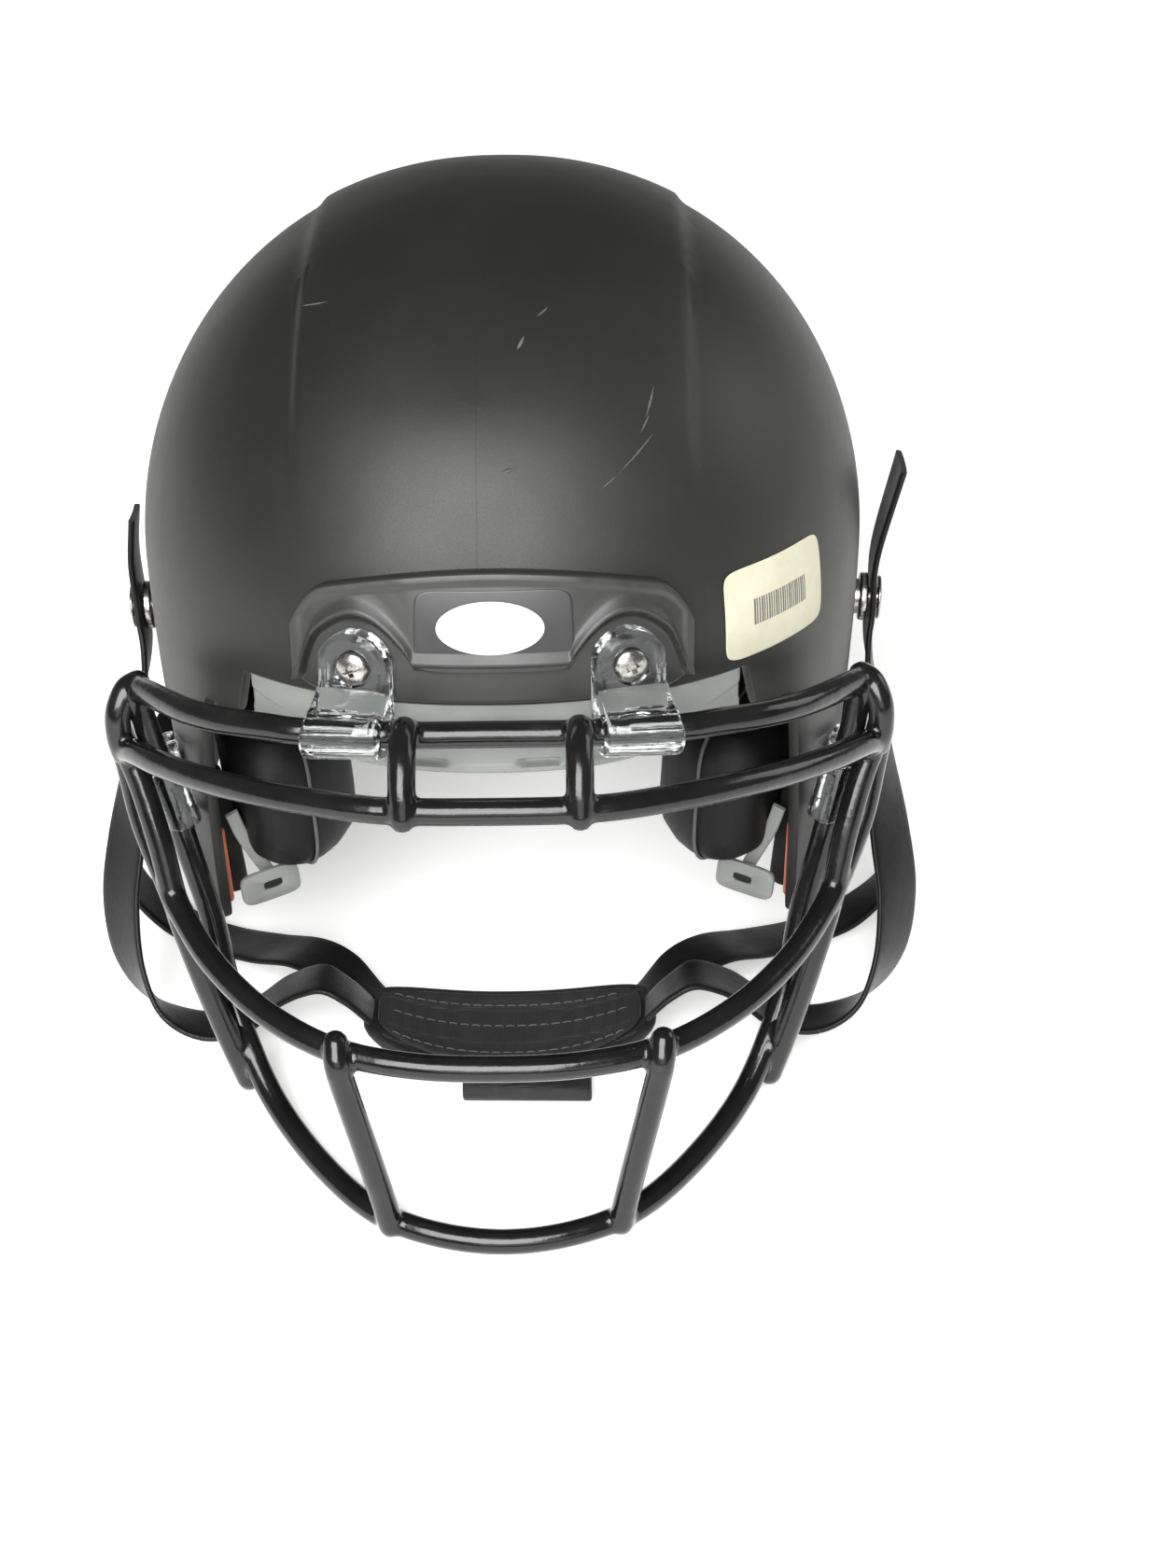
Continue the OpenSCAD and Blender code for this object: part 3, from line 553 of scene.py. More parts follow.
def fabric(name, col, scale=900, weave=0.5, rough=0.85, sheen=0.15, rib=None):
    """Knitted or woven cloth: crossed waves for the threads, fluff, and tone variation."""
    n = Nodes(name)
    big, fluff = n.noise(45, 5), n.noise(2600, 4, 0.7)
    def threads(axis):
        w = n.add("ShaderNodeTexWave", wave_type="BANDS", bands_direction=axis)
        fill(w, Scale=scale, Distortion=0.8, Detail=2)
        n.link(n.co, w.inputs["Vector"])
        return w.outputs["Fac"]
    cross = n.math("MAXIMUM", threads("X"), threads("Z"))
    mixed = n.math("ADD", n.math("MULTIPLY", cross, 0.7), n.math("MULTIPLY", threads("Y"), 0.3))
    tint = n.math("ADD", n.math("MULTIPLY", mixed, 0.45), n.math("MULTIPLY", big, 0.55))
    n.into("Base Color", n.ramp(tint, [(0.25, tone(col, 0.6)), (0.5, col), (0.8, tone(col, 1.5))]))
    n.into("Roughness", n.grey(fluff, rough - 0.08, min(1, rough + 0.08)))
    nm = n.bump(mixed, weave, 0.0004)
    nm = n.bump(fluff, 0.25, 0.0003, nm)
    n.into("Normal", nm)
    fill(n.p, Sheen_Weight=sheen, Sheen_Roughness=0.4)
    return n.mat


def strap_material():
    """Smooth coated webbing: close ribs under a satin face."""
    n = Nodes("satin_webbing")
    big = n.noise(60, 4)
    w = n.add("ShaderNodeTexWave", wave_type="BANDS", bands_direction="DIAGONAL")
    fill(w, Scale=620, Distortion=1.2)
    n.link(n.co, w.inputs["Vector"])
    n.into("Base Color", n.ramp(big, [(0.3, (0.0040, 0.0041, 0.0040)), (0.6, (0.0058, 0.0059, 0.0058)),
                                      (0.8, (0.0090, 0.0090, 0.0088))]))
    n.into("Roughness", n.math("ADD", n.grey(big, 0.36, 0.46), n.grey(n.noise(1500, 3), -0.05, 0.05)))
    nm = n.bump(w.outputs["Fac"], 0.16, 0.0003)
    nm = n.bump(n.noise(90, 3), 0.18, 0.0015, nm)
    n.into("Normal", nm)
    fill(n.p, Sheen_Weight=0.02, Specular_IOR_Level=0.33)
    return n.mat


def paper_material():
    n = Nodes("label_paper")
    big, fibre = n.noise(130, 6, 0.6), n.noise(1800, 4, 0.7)
    n.into("Base Color", n.ramp(big, [(0.3, (0.47, 0.455, 0.335)), (0.55, (0.515, 0.50, 0.38)),
                                      (0.8, (0.555, 0.545, 0.42))]))
    n.into("Roughness", n.grey(fibre, 0.42, 0.6))
    n.into("Normal", n.bump(fibre, 0.12, 0.0002))
    return n.mat


M_SHELL = shell_material()
M_BUMPER = plastic("satin_bumper", (0.0250, 0.0250, 0.0240), 0.42, 0.18, 1500, 0.10, (60, 0.10))
M_PATCH = plastic("emblem_film", (0.0240, 0.0240, 0.0240), 0.36, 0.12, 1800, 0.05)
M_EMBLEM = plastic("emblem_print", (0.86, 0.86, 0.84), 0.42, 0.04, 2200, 0.08)
M_PAPER = paper_material()
M_INK = plastic("label_ink", (0.09, 0.088, 0.08), 0.5, 0.25, 2500, 0.06)
M_GREY = plastic("grey_plastic", (0.180, 0.190, 0.178), 0.44, 0.10, 1200, 0.12)
M_CARRIER = plastic("carrier_plastic", (0.20, 0.207, 0.20), 0.42, 0.10, 1200, 0.12)
M_CELL = plastic("cell_plastic", (0.010, 0.0105, 0.012), 0.28, 0.18, 900, 0.12, (70, 0.25), coat=0.2)
M_ORANGE = plastic("orange_plastic", (0.56, 0.14, 0.045), 0.42, 0.12, 1200, 0.10)
M_SCUFF = plastic("scuff_mark", (0.10, 0.10, 0.095), 0.7, 0.5, 3000, 0.25)
M_WIRE = wire_material()
M_CLEAR = clear_material()
M_METAL = metal_material()
M_PAD = fabric("pad_knit", (0.0050, 0.0051, 0.0051), 700, 0.22, 0.52, 0.0)
M_FOAM = plastic("foam_skin", (0.0085, 0.0085, 0.0088), 0.62, 0.25, 700, 0.35, (120, 0.3), 0.3)
M_COMFORT = fabric("comfort_knit", (0.012, 0.0122, 0.013), 520, 0.5, 0.85, 0.15)
M_STRAP = strap_material()
for m, level in ((M_PAD, 0.25), (M_STRAP, 0.22)):
    m.node_tree.nodes["Principled BSDF"].inputs["Specular IOR Level"].default_value = level
M_CUP = fabric("cup_cloth", (0.0085, 0.0086, 0.0088), 800, 0.40, 0.62, 0.05)
M_LINING = fabric("cup_fleece", (0.0105, 0.0106, 0.0108), 420, 0.5, 0.75, 0.08)
M_THREAD = fabric("stitch_thread", (0.075, 0.076, 0.078), 2500, 0.4, 0.7, 0.1)


# ---- shell -----------------------------------------------------------------------------------------

POLE = 88.9                       # last latitude of the shell's rows
EAR_Z = -60.0
BORE_R = 2.75                     # screw and stud holes
VENTS = [(150, 52), (-150, 52), (165, 30), (-165, 30)]
VENT_HALF = 11                    # from a vent's middle to the centre of its round end


def ridge(P):
    """The middle of the dome stands a little proud between two long steps that fade out over the brow."""
    x, y, z = P[..., 0], P[..., 1], P[..., 2]
    left = smooth(-55.0, -51.2, x)
    right = 1 - smooth(52.5, 56.3, x)
    front = smooth(38, 68, z) + (y > 0) * smooth(-10, 30, z)
    return 1.6 * left * right * np.clip(front, 0, 1)


def shell():
    cols = np.concatenate([np.arange(0, 32, 0.75), np.arange(32, 38, 0.25), np.arange(38, 42, 0.5),
                           np.arange(42, 56, 0.25), np.arange(56, 180, 1.0)])
    w = np.concatenate([-cols[:0:-1], cols, [180]])
    rows = 96
    low = latitude(rim(w))
    S = low[:, None] + (POLE - low)[:, None] * np.linspace(0, 1, rows)[None, :]
    W = np.repeat(w[:, None], rows, 1)
    O = skin(W, S, ridge(skin(W, S, 0)))
    I = skin(W, S, -WALL)
    # rounded lip, square to the rim's own direction
    rim_o, rim_i = O[:, 0], I[:, 0]
    along = unit(np.roll(rim_o, -1, 0) - np.roll(rim_o, 1, 0))
    nrm = unit(rim_o - rim_i)
    out = unit(np.cross(along, nrm))
    away = O[:, 2] - O[:, 0]
    out = out * -np.sign(np.sum(out * away, -1, keepdims=True))
    mid = (rim_o + rim_i) / 2
    half = np.linalg.norm(rim_o - rim_i, axis=-1, keepdims=True) / 2
    lip = np.stack([mid + nrm * half * math.cos(g) + out * half * 0.25 * math.sin(g)
                    for g in np.radians([25, 50, 75, 90, 105, 130, 155])], 1)
    ob = make("shell", *closed_ring(np.concatenate([O[:, ::-1], lip, I], 1)), M_SHELL, None, 30)
    cutters = []
    for sx in (-1, 1):
        M = np.array([[0, 0, sx], [0, 1, 0], [-sx, 0, 0]], float)
        ear = [(23, -45), (23, -2.2), (23.3, -1.1), (24.0, -0.3), (25.0, 0.0), (26.5, 0.3), (27, 6)]
        cutters.append(lathe(ear, M, np.array([skin(sx * 90, latitude(EAR_Z))[0], 0, EAR_Z]), 96))
        for w0, s0 in ((CLIP_W, CLIP_S), (SIDE_W, SIDE_S), (SNAP_W, SNAP_S), (LOW_W, LOW_S)):
            Mm, p = on_skin(sx * w0, s0)
            cutters.append(lathe([(BORE_R, -9), (BORE_R, 9)], Mm, p, 28))
    for w0, s0 in VENTS:
        Mm, p = on_skin(w0, s0)
        cutters.append(loft([[p + Mm @ np.array([r * math.cos(g),
                                                 r * math.sin(g) + VENT_HALF * np.sign(math.sin(g)), h])
                              for g in circle(48, 0.02)]
                             for h, r in ((-12, 4.5), (-0.9, 4.5), (-0.3, 4.75), (0.1, 5.2), (8, 5.4))]))
    carve(ob, cutters, M_SHELL)
    finish_mesh(ob, M_SHELL, 30)
    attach(ob, HELMET)
    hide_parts("outer_shell")


shell()


def streak(w0, z0, w1, z1, wide, n=14):
    """Short rubbed streak laid on the paint."""
    t = np.linspace(0, 1, n)
    w, z = mix(w0, w1, t), mix(z0, z1, t)
    c = skin(w, latitude(z), 0)
    lift = ridge(c) + 0.035
    c = skin(w, latitude(z), lift)
    nn = unit(normal_at(w, latitude(z)))
    side = unit(np.cross(np.gradient(c, axis=0), nn))
    k = (wide * np.sin(np.pi * np.clip(t, 0.03, 0.97)) * (0.6 + 0.4 * rng.random(n)))[:, None]
    V = np.concatenate([c - side * k / 2, c + side * k / 2, c + nn * 0.03])
    F = []
    for a, b in ((0, 2 * n), (2 * n, n), (n, 0)):
        F += [(a + i, a + i + 1, b + i + 1, b + i) for i in range(n - 1)]
    F += [(0, 2 * n, n), (n - 1, 2 * n - 1, 3 * n - 1)]
    return V, F


SCUFFS = [(26.5, 68, 23.5, 62, 1.0), (24.2, 62.5, 22.0, 59.0, 0.7), (24, 58.5, 17.5, 51, 0.8),
          (17.2, 50.6, 14.8, 48.0, 0.6), (5, 78, 6.5, 80.5, 1.6), (1.5, 53, 3.8, 54, 1.2), (9.5, 84, 12, 85.5, 1.2),
          (-42, 82, -36, 84, 0.9)]
make("shell_scuffs", *join_parts([streak(*q) for q in SCUFFS]), M_SCUFF, HELMET, 0, "shell_plastic")

# ---- forehead bumper -------------------------------------------------------------------------------
HALF = 53.0
SCOOP = 13.4                      # half width of the scoop round each brow clip
BUMPER_GAP, BUMPER_DEEP, BUMPER_INSET = 0.3, 4.5, 0.55


def lip_line(x):
    u = np.abs(np.abs(x) - CLIP_X)
    arch = np.where(u < SCOOP + 1.5, 12.2 * np.cos(np.radians(90 * np.clip(u / (SCOOP + 1.5), 0, 1))) ** 0.8, 0)
    outer = np.where(np.abs(x) > CLIP_X, 9.0 * smooth(0.75 * SCOOP, 1.4 * SCOOP, u), 0)
    return 5.8 + arch - outer


def bumper():
    def top(x):
        q = np.abs(x) / HALF
        return BROW_Z + 37 - 8.5 * q ** 2 - 10 * (np.maximum(0, q - 0.8) / 0.2) ** 2.4

    def bottom(x):
        q = np.abs(x) / HALF
        return BROW_Z + 0.6 + 4 * (np.maximum(0, q - 0.8) / 0.2) ** 2.4

    nx, nz = 281, 97
    X = np.repeat((eased(nx, 0.35) * HALF)[:, None], nz, 1)
    Z = mix(bottom(X), top(X), np.repeat(((eased(nz, 0.25) + 1) / 2)[None, :], nx, 0))
    edge = np.minimum(np.minimum(Z - bottom(X), top(X) - Z), HALF - np.abs(X))
    k = Z - lip_line(X)
    deep = mix(1.7, BUMPER_DEEP, smooth(-1.5, 1.1, k))
    bead = 0.75 * np.exp(-((k - 1.4) / 1.1) ** 2)                            # rolled lip that catches the light
    inset = -BUMPER_INSET * smooth(2.2, 4.2, edge) * smooth(2.5, 5.0, k)     # panel inside a raised border
    dish = -0.7 * np.exp(-(((np.abs(X) - CLIP_X) / 11) ** 2)) * smooth(1.5, 8, k) * (1 - smooth(12, 20, k))
    d = BUMPER_GAP + (deep + bead + inset + dish) * round_edge(edge / 1.3)
    S = latitude(Z)
    W = azimuth(X, S)
    ob = make("brow_bumper", *slab(skin(W, S, d), skin(W, S, BUMPER_GAP), skirt=True), M_BUMPER, HELMET, 50,
              "bumper_plastic")
    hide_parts("front_bumper")


bumper()
front_d = BUMPER_GAP + BUMPER_DEEP - BUMPER_INSET

half_patch = float(azimuth(20.5, latitude(14)))
v, f = pillow(0.4, 15.4, half_patch, 10.6, front_d + 0.14, front_d - 0.3, 9, 0.35, 144, 30)
make("emblem_film_patch", v, f, M_PATCH, HELMET, 30, "bumper_plastic")
v, f = pillow(0, 16.5, float(azimuth(13.8, latitude(17))), 6.8, front_d + 0.42, front_d - 0.1, 2.0, 0.5, 144, 24)
ob = make("lens_emblem", v, f, M_EMBLEM, HELMET, 30, "emblem_white")
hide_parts("front_emblem")

# ---- brow band -------------------------------------------------------------------------------------

def brow_band():
    """Grey band under the brow, with a stepped rail and four slots."""
    half = 33.0
    nw, nz = 241, 41
    u, v = np.linspace(-1, 1, nw), np.linspace(0, 1, nz)
    W = np.repeat((u * half)[:, None], nz, 1)
    q = np.abs(W) / half
    lo = BROW_Z - 21.5 + 9 * q ** 3
    Z = mix(lo, BROW_Z - 0.4, np.repeat(v[None, :], nw, 0))
    fade = 1 - round_edge(np.minimum(Z - lo, (1 - q) * half * 2.2) / 1.5)
    slot = np.zeros_like(Z)
    for c in (-21, -8.5, 5.5, 20):
        slot += np.exp(-(((W - c) / 2.6) ** 6) - (((Z - lo - 3.4) / 0.9) ** 6))
    step_in = 0.9 * smooth(2.5, 3.6, Z - lo) * (1 - smooth(7.5, 8.6, Z - lo))
    O = skin(W, latitude(Z), -1.6 * fade - 1.9 * np.clip(slot, 0, 1) - step_in * 0.5)
    I = skin(W, latitude(Z), -WALL + 1.0 * fade)
    ob = make("brow_edge_band", *slab(O, I, skirt=True), M_GREY, HELMET, 45, "grey_plastic")
    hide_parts("brow_band")


brow_band()

v, f = pillow(180, -82, 26, 15, 3.2, 0.2, 4, 2.2, 160, 36, 0.0,
              lambda U, V: -0.6 * np.exp(-((np.abs(V) - 0.45) / 0.07) ** 2) * (np.abs(U) < 0.72))
ob = make("neck_bumper", v, f, M_BUMPER, HELMET, 40, "bumper_plastic")
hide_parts("rear_bumper")

# ---- paper label: plain, with evenly spaced bars and no lettering ----------------------------------
LABEL_W = float(azimuth(79, latitude(9)))
v, f = pillow(LABEL_W, 9, 10.1, 12.8, 0.34, 0.08, 9, 0.5, 160, 30)
ob = make("paper_label", v, f, M_PAPER, HELMET, 30, "label_paper")
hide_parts("size_label")


def rule(w0, w1, z0, z1, d=0.36):
    """Thin printed bar on the skin."""
    w, s = np.linspace(w0, w1, 9)[:, None], latitude(np.linspace(z0, z1, 5))[None, :]
    return slab(skin(w, s, d), skin(w, s, d - 0.06), skirt=True)


BARS = [(LABEL_W - 5.3 + i * 0.46, 0.25 if i % 3 else 0.33) for i in range(24)]
make("label_bars", *join_parts([rule(c, c + wide, 5.0, 12.4) for c, wide in BARS]), M_INK, HELMET, 40, "label_paper")

# ---- suspension ------------------------------------------------------------------------------------
CELL_OUT = WALL + 0.4
BONNET_OUT = CELL_OUT + 16
BONNET_IN = BONNET_OUT + 1.8
COMFORT = BONNET_IN + 1.4
VOXEL, PUFF = 0.003, 0.002        # remesh size and the most a cushion swells, in metres


def bonnet_rim(w):
    v = np.abs(w)
    front = mix(-14.0, -20.0, smooth(20, 40, v))
    side = mix(front, -8.0, smooth(60, 75, v))
    return mix(side, -62.0, smooth(112, 140, v))


def ring_sheet(d_out, d_in, low, relief, top=86.0, nw=180, rows=40, lip_n=5):
    """Cap inside the shell between two depths, from the line low(w) up to the latitude top."""
    w = np.linspace(-180, 180, nw, endpoint=False)
    lo = latitude(low(w))
    S = lo[:, None] + (top - lo)[:, None] * np.linspace(0, 1, rows)[None, :]
    W = np.repeat(w[:, None], rows, 1)
    r = relief(W, S)
    O, I = skin(W, S, d_out + r), skin(W, S, d_in + r)
    mid, nrm = (O[:, 0] + I[:, 0]) / 2, (O[:, 0] - I[:, 0]) / 2
    down = unit(O[:, 0] - O[:, 1]) * np.linalg.norm(nrm, axis=-1, keepdims=True)
    lip = np.stack([mid + nrm * math.cos(g) + down * math.sin(g)
                    for g in np.radians(np.linspace(20, 160, lip_n))], 1)
    return closed_ring(np.concatenate([O[:, ::-1], lip, I], 1))


def bonnet_waves(W, S): return 0.35 * np.cos(np.radians(W * 12)) * smooth(0, 30, S) * (1 - smooth(60, 80, S))


ob = make("suspension_bonnet", *ring_sheet(-BONNET_OUT, -BONNET_IN, bonnet_rim, bonnet_waves), M_GREY, HELMET, 40,
          "grey_plastic")
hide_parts("bonnet")


def cell(w, s):
    M, p = on_skin(w, s, -CELL_OUT - 2.2)
    M = np.stack([M[:, 0], -M[:, 1], -M[:, 2]], 1)
    h, r = 13.0, 17.0
    prof = [(0.6, 0.9), (3.2, 0.9), (4.2, 0.2)] + arc(r - 3.4, 3.4, 3.2, -80, 0, 6)
    prof += [(r - 0.2, 5.4), (r - 0.9, 6.2), (r - 0.9, 6.8), (r - 0.2, 7.6)]
    prof += arc(r - 3.4, h - 3.4, 3.2, 0, 80, 6) + [(9, h), (8, h - 0.8), (2, h - 0.8), (0.6, h - 0.8)]
    return lathe(prof, M, p, 56)


CELLS = {"crown_cells": [(180, 84)] + [(w, 61) for w in (0, 72, 144, -144, -72)],
         "front_cells": [(w, 24) for w in (-50, -17, 17, 50)],
         "rear_cells": [(w, 20) for w in (120, 150, 180, -150, -120)] + [(163, -16), (-163, -16)],
         "side_cells_left": [(-84, 22)], "side_cells_right": [(84, 22)]}
for node, places in CELLS.items():
    ob = make("air_" + node, *join_parts([cell(*c) for c in places]), M_CELL, HELMET, 40, "cell_plastic")
    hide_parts(node)


def puff(ob, voxel, cap, pressure=4.0, frames=20):
    """Cloth pass: remesh, blow up under pressure, cap the movement, then one subdivision."""
    rm = ob.modifiers.new("remesh", "REMESH")
    rm.mode, rm.voxel_size = "VOXEL", voxel
    bake(ob)
    start = np.empty(len(ob.data.vertices) * 3)
    ob.data.vertices.foreach_get("co", start)
    start = start.reshape(-1, 3)
    cl = ob.modifiers.new("cloth", "CLOTH")
    cl.settings.use_pressure = True
    cl.settings.uniform_pressure_force = pressure
    cl.settings.effector_weights.gravity = 0
    cl.settings.tension_stiffness = 20
    cl.settings.bending_stiffness = 2
    sc = bpy.context.scene
    for k in range(1, frames + 1):
        sc.frame_set(k)
    dg = bpy.context.evaluated_depsgraph_get()
    ev = ob.evaluated_get(dg).to_mesh()
    end = np.empty(len(ev.vertices) * 3)
    ev.vertices.foreach_get("co", end)
    end = end.reshape(-1, 3)
    ob.evaluated_get(dg).to_mesh_clear()
    ob.modifiers.clear()
    sc.frame_set(1)
    move = end - start
    L = np.linalg.norm(move, axis=1, keepdims=True)
    move *= np.minimum(1, cap / np.maximum(L, 1e-9))
    ob.data.vertices.foreach_set("co", (start + move).ravel())
    ob.data.update()
    sub = ob.modifiers.new("sub", "SUBSURF")
    sub.levels = sub.render_levels = 1
    bake(ob)


def soft_pad(name, node, parts, mat, voxel, cap, seams=None):
    ob = make(name, *join_parts(parts), mat, None, 0)
    puff(ob, voxel, cap)
    finish_mesh(ob, mat, 0)
    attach(ob, HELMET)
    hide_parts(node)
    if seams:
        make(name + "_seam", *join_parts([tube(c, 0.55, 8, False) for c in seams]), M_THREAD, HELMET, 0, "pad_fabric")
    return ob


for name, node, places, nt, nr, crown in (
        ("forehead_cushion", "forehead_pad", [(0, 18, 33.4, 25.4)], 112, 26, 0.6),
        ("nape_cushion", "rear_pad", [(180, -12, 33.4, 33.4)], 112, 26, 0.6),
        ("temple_cushions", "temple_pads", [(sx * 78, 22, 25.4, 23.4) for sx in (-1, 1)], 96, 24, 0.5)):
    soft_pad(name, node, [pillow(*q, -COMFORT - 0.3, -COMFORT - 6.6, 4, 3.4, nt, nr, crown) for q in places],
             M_COMFORT, VOXEL, PUFF, [border(*q, -COMFORT - 3.5) for q in places])


def crown_disc():
    n, m = 72, 24
    w = np.linspace(-180, 180, n, endpoint=False)
    lo = float(latitude(0.87 * CR))
    t = np.linspace(0, 1, m)
    S = lo + (88.5 - lo) * t
    W = np.repeat(w[:, None], m, 1)
    S = np.repeat(S[None, :], n, 0)
    h = 3.2 * round_edge(t * 4.5)[None, :]
    O, I = skin(W, S, -COMFORT - 3.5 + h), skin(W, S, -COMFORT - 3.5 - h)
    return closed_ring(np.concatenate([O[:, ::-1], I[:, 1:]], 1))


soft_pad("crown_cushion", "crown_pad", [crown_disc()], M_COMFORT, VOXEL, PUFF)

# ---- jaw -------------------------------------------------------------------------------------------
JAW_OUT = WALL + 5
SLOT = (1.35, 3.0, 13.2)          # half width, half length and depth below the wall of the tongue's slot


def jaw_folds(U, V):
    """Creases that run up the leathery cover."""
    waves = 0.7 * np.sin(9 * U + 2.5 * V) * (0.4 + 0.6 * np.abs(V))
    return waves - 1.1 * np.exp(-((U + 0.25 * V - 0.15) / 0.07) ** 2)


def jaw_shape(sx):
    return pillow(sx * 58.5, -66, 19.6, 25.0, -JAW_OUT - 3.6, -JAW_OUT - 37.0, 4.6, 8.5, 112, 34, 5.5, jaw_folds)


for side, sx in (("left", -1), ("right", 1)):
    ob = soft_pad(f"jaw_cushion_{side}", f"jaw_pad_{side}", [jaw_shape(sx)], M_PAD, 0.004, 0.003,
                  [border(sx * 58.5, -66, 19.7, 25.1, -JAW_OUT - 19, 4.4)])
    Mm, p = on_skin(sx * 51, float(latitude(-98)))

    def plate_ring(off, size, half_w, half_l, deep, outline):
        return [p + Mm @ np.array([off, cy * half_w * size, -WALL - deep + cx * half_l * size]) for cx, cy in outline]

    foam = pillow(sx * 62.5, -85.5, 7.2, 18.6, -WALL - 0.5, -WALL - 8.2, 6, 1.6, 128, 28, 0.4)
    oval = [(math.cos(g), math.sin(g)) for g in circle(40)]
    # dark plate that fills the tongue's slot: painted shade, so the hole reads dark instead of showing light through it
    slot_shade_plug = loft([plate_ring(off, size, *SLOT, oval)
                 for off, size in ((-0.35, 0.9), (-0.3, 1.06), (0.3, 1.06), (0.35, 0.9))])
    ob = make(f"jaw_edge_foam_{side}", *join_parts([foam, slot_shade_plug]), M_FOAM, HELMET, 40, "pad_fabric")
    # slotted tongue: a rounded plate that stands square to the shell, with a hole through it
    square = [(k * math.cos(g), k * math.sin(g)) for g, k in zip(circle(72), squircle(circle(72), 5))]
    rings = [plate_ring(off, size, 5.2, 9.4, 12.5, square)
             for off, size in ((-0.9, 0.93), (-0.75, 0.985), (-0.4, 1.0), (0.4, 1.0), (0.75, 0.985), (0.9, 0.93))]
    rings += [plate_ring(off, size, *SLOT, square)
              for off, size in ((0.9, 1.12), (0.7, 1.0), (-0.7, 1.0), (-0.9, 1.12))]
    # thin arm that runs up from the tongue between pad and flap
    arm = catmull([skin(sx * 51, latitude(z), d)
                   for z, d in ((-99, -18.5), (-94, -17), (-86, -13.8), (-78, -10.6), (-70, -8.6))], 8)
    arm_w = np.tile(normal_at(sx * 51.5, latitude(-80)), (len(arm), 1))
    ob = make(f"jaw_carrier_plate_{side}", *join_parts([loft(rings, loop=True), ribbon(arm, arm_w, 4.2, 1.5, 5)]),
              M_CARRIER, HELMET, 40, "grey_plastic")
    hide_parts(f"jaw_carrier_{side}")
    C = [skin(sx * (w + 2.4), latitude(rim(w)), -WALL - 1.3) for w in np.arange(49.5, 52.51, 0.5)]
    C += [skin(sx * w, latitude(rim(53)), -WALL - 1.3) for w in (57, 59.5)]
    ob = make(f"jaw_edge_trim_{side}", *tube(catmull(C, 6), 0.95, 14), M_ORANGE, HELMET, 0, "orange_plastic")
    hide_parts(f"jaw_trim_{side}")

# ---- face mask -------------------------------------------------------------------------------------
BROW = [lay(0, 135.5, -11.3), lay(25, 135.5, -11.2), lay(49, 134.3, -10.5), lay(61, 130, -10.8), lay(73, 123.5, -12),
        lay(83, 114.5, -13.8), lay(91, 104, -15.8), lay(98, 93, -18), lay(104, 83, -20.5)]
EYE = [lay(0, 157, -23.3), lay(28, 155, -23.7), lay(50, 147, -24.5), lay(66, 137.5, -26), lay(81, 124, -29),
       lay(94, 108.5, -32.5), lay(103, 95, -35.5), lay(108.5, 85, -39)]
JAW = [lay(0, 160, -101), lay(24, 158, -101), lay(46, 151, -100), lay(66, 138, -96), lay(82, 120, -91),
       lay(93, 103, -84), lay(100, 92, -74), lay(105, 86, -62), lay(108, 82, -48), lay(109, 82, -42)]
CHIN = [lay(0, 155, -163), lay(20, 152, -162.2), lay(38, 143.5, -160), lay(55, 126, -155.5), lay(70, 106, -147),
        lay(80, 92, -131), lay(85, 85, -115), lay(88.7, 79, -98), lay(93.8, 75.6, -80), lay(97.6, 75, -62),
        lay(100.6, 79, -44), lay(103, 85, -26), lay(104, 86, -21)]
STUB = [lay(0, 136, -9.5), lay(0, 142, -7.3), lay(0, 149, -9.5), lay(0, 155, -16), lay(0, 158, -24.5)]
LINK = [lay(103.5, 82, -19.5), lay(106.3, 85.5, -20.5), lay(108.6, 88, -26), lay(109, 88, -33), lay(108.5, 86, -39.5)]
SIDE = [lay(108, 85, -38), lay(103.5, 89, -50), lay(99, 94, -66), lay(95, 98.5, -85), lay(90, 99, -105),
        lay(85, 97, -125), lay(79, 95, -146)]
FRONT = [lay(45, 154, -96), lay(44.5, 157, -101), lay(43, 156, -110), lay(36, 151, -145), lay(33.1, 148.6, -161.3)]


def flip(P): return [np.array([-p[0], p[1], p[2]]) for p in P]
def both(P): return flip(P)[:0:-1] + list(P)
def moved(P, dx): return [p + np.array([dx, 0, 0]) for p in P]


R = WIRE / 2
curves = {"brow_bar": [both(BROW)], "eye_bar": [both(EYE)], "jaw_bar": [both(JAW)], "chin_bar": [both(CHIN)],
          "nose_stubs": [moved(STUB, -23.2), moved(STUB, 23.2)], "end_links": [flip(LINK), LINK],
          "side_upright_left": [flip(SIDE)], "side_upright_right": [SIDE],
          "front_upright_left": [flip(FRONT)], "front_upright_right": [FRONT]}
lines = {}
for node, paths in curves.items():
    lines[node] = [catmull(p, 14) for p in paths]
    ob = make("mask_" + node, *join_parts([tube(c, R, 28) for c in lines[node]]), M_WIRE, HELMET, 0, "coated_wire")
    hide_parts(node)


def cut_near(C, p, reach):
    d = np.linalg.norm(C - p, axis=1)
    i = int(np.argmin(d))
    step_len = np.linalg.norm(np.diff(C, axis=0), axis=1)
    s = np.concatenate([[0], np.cumsum(step_len)])
    keep = np.abs(s - s[i]) < reach
    return C[keep]


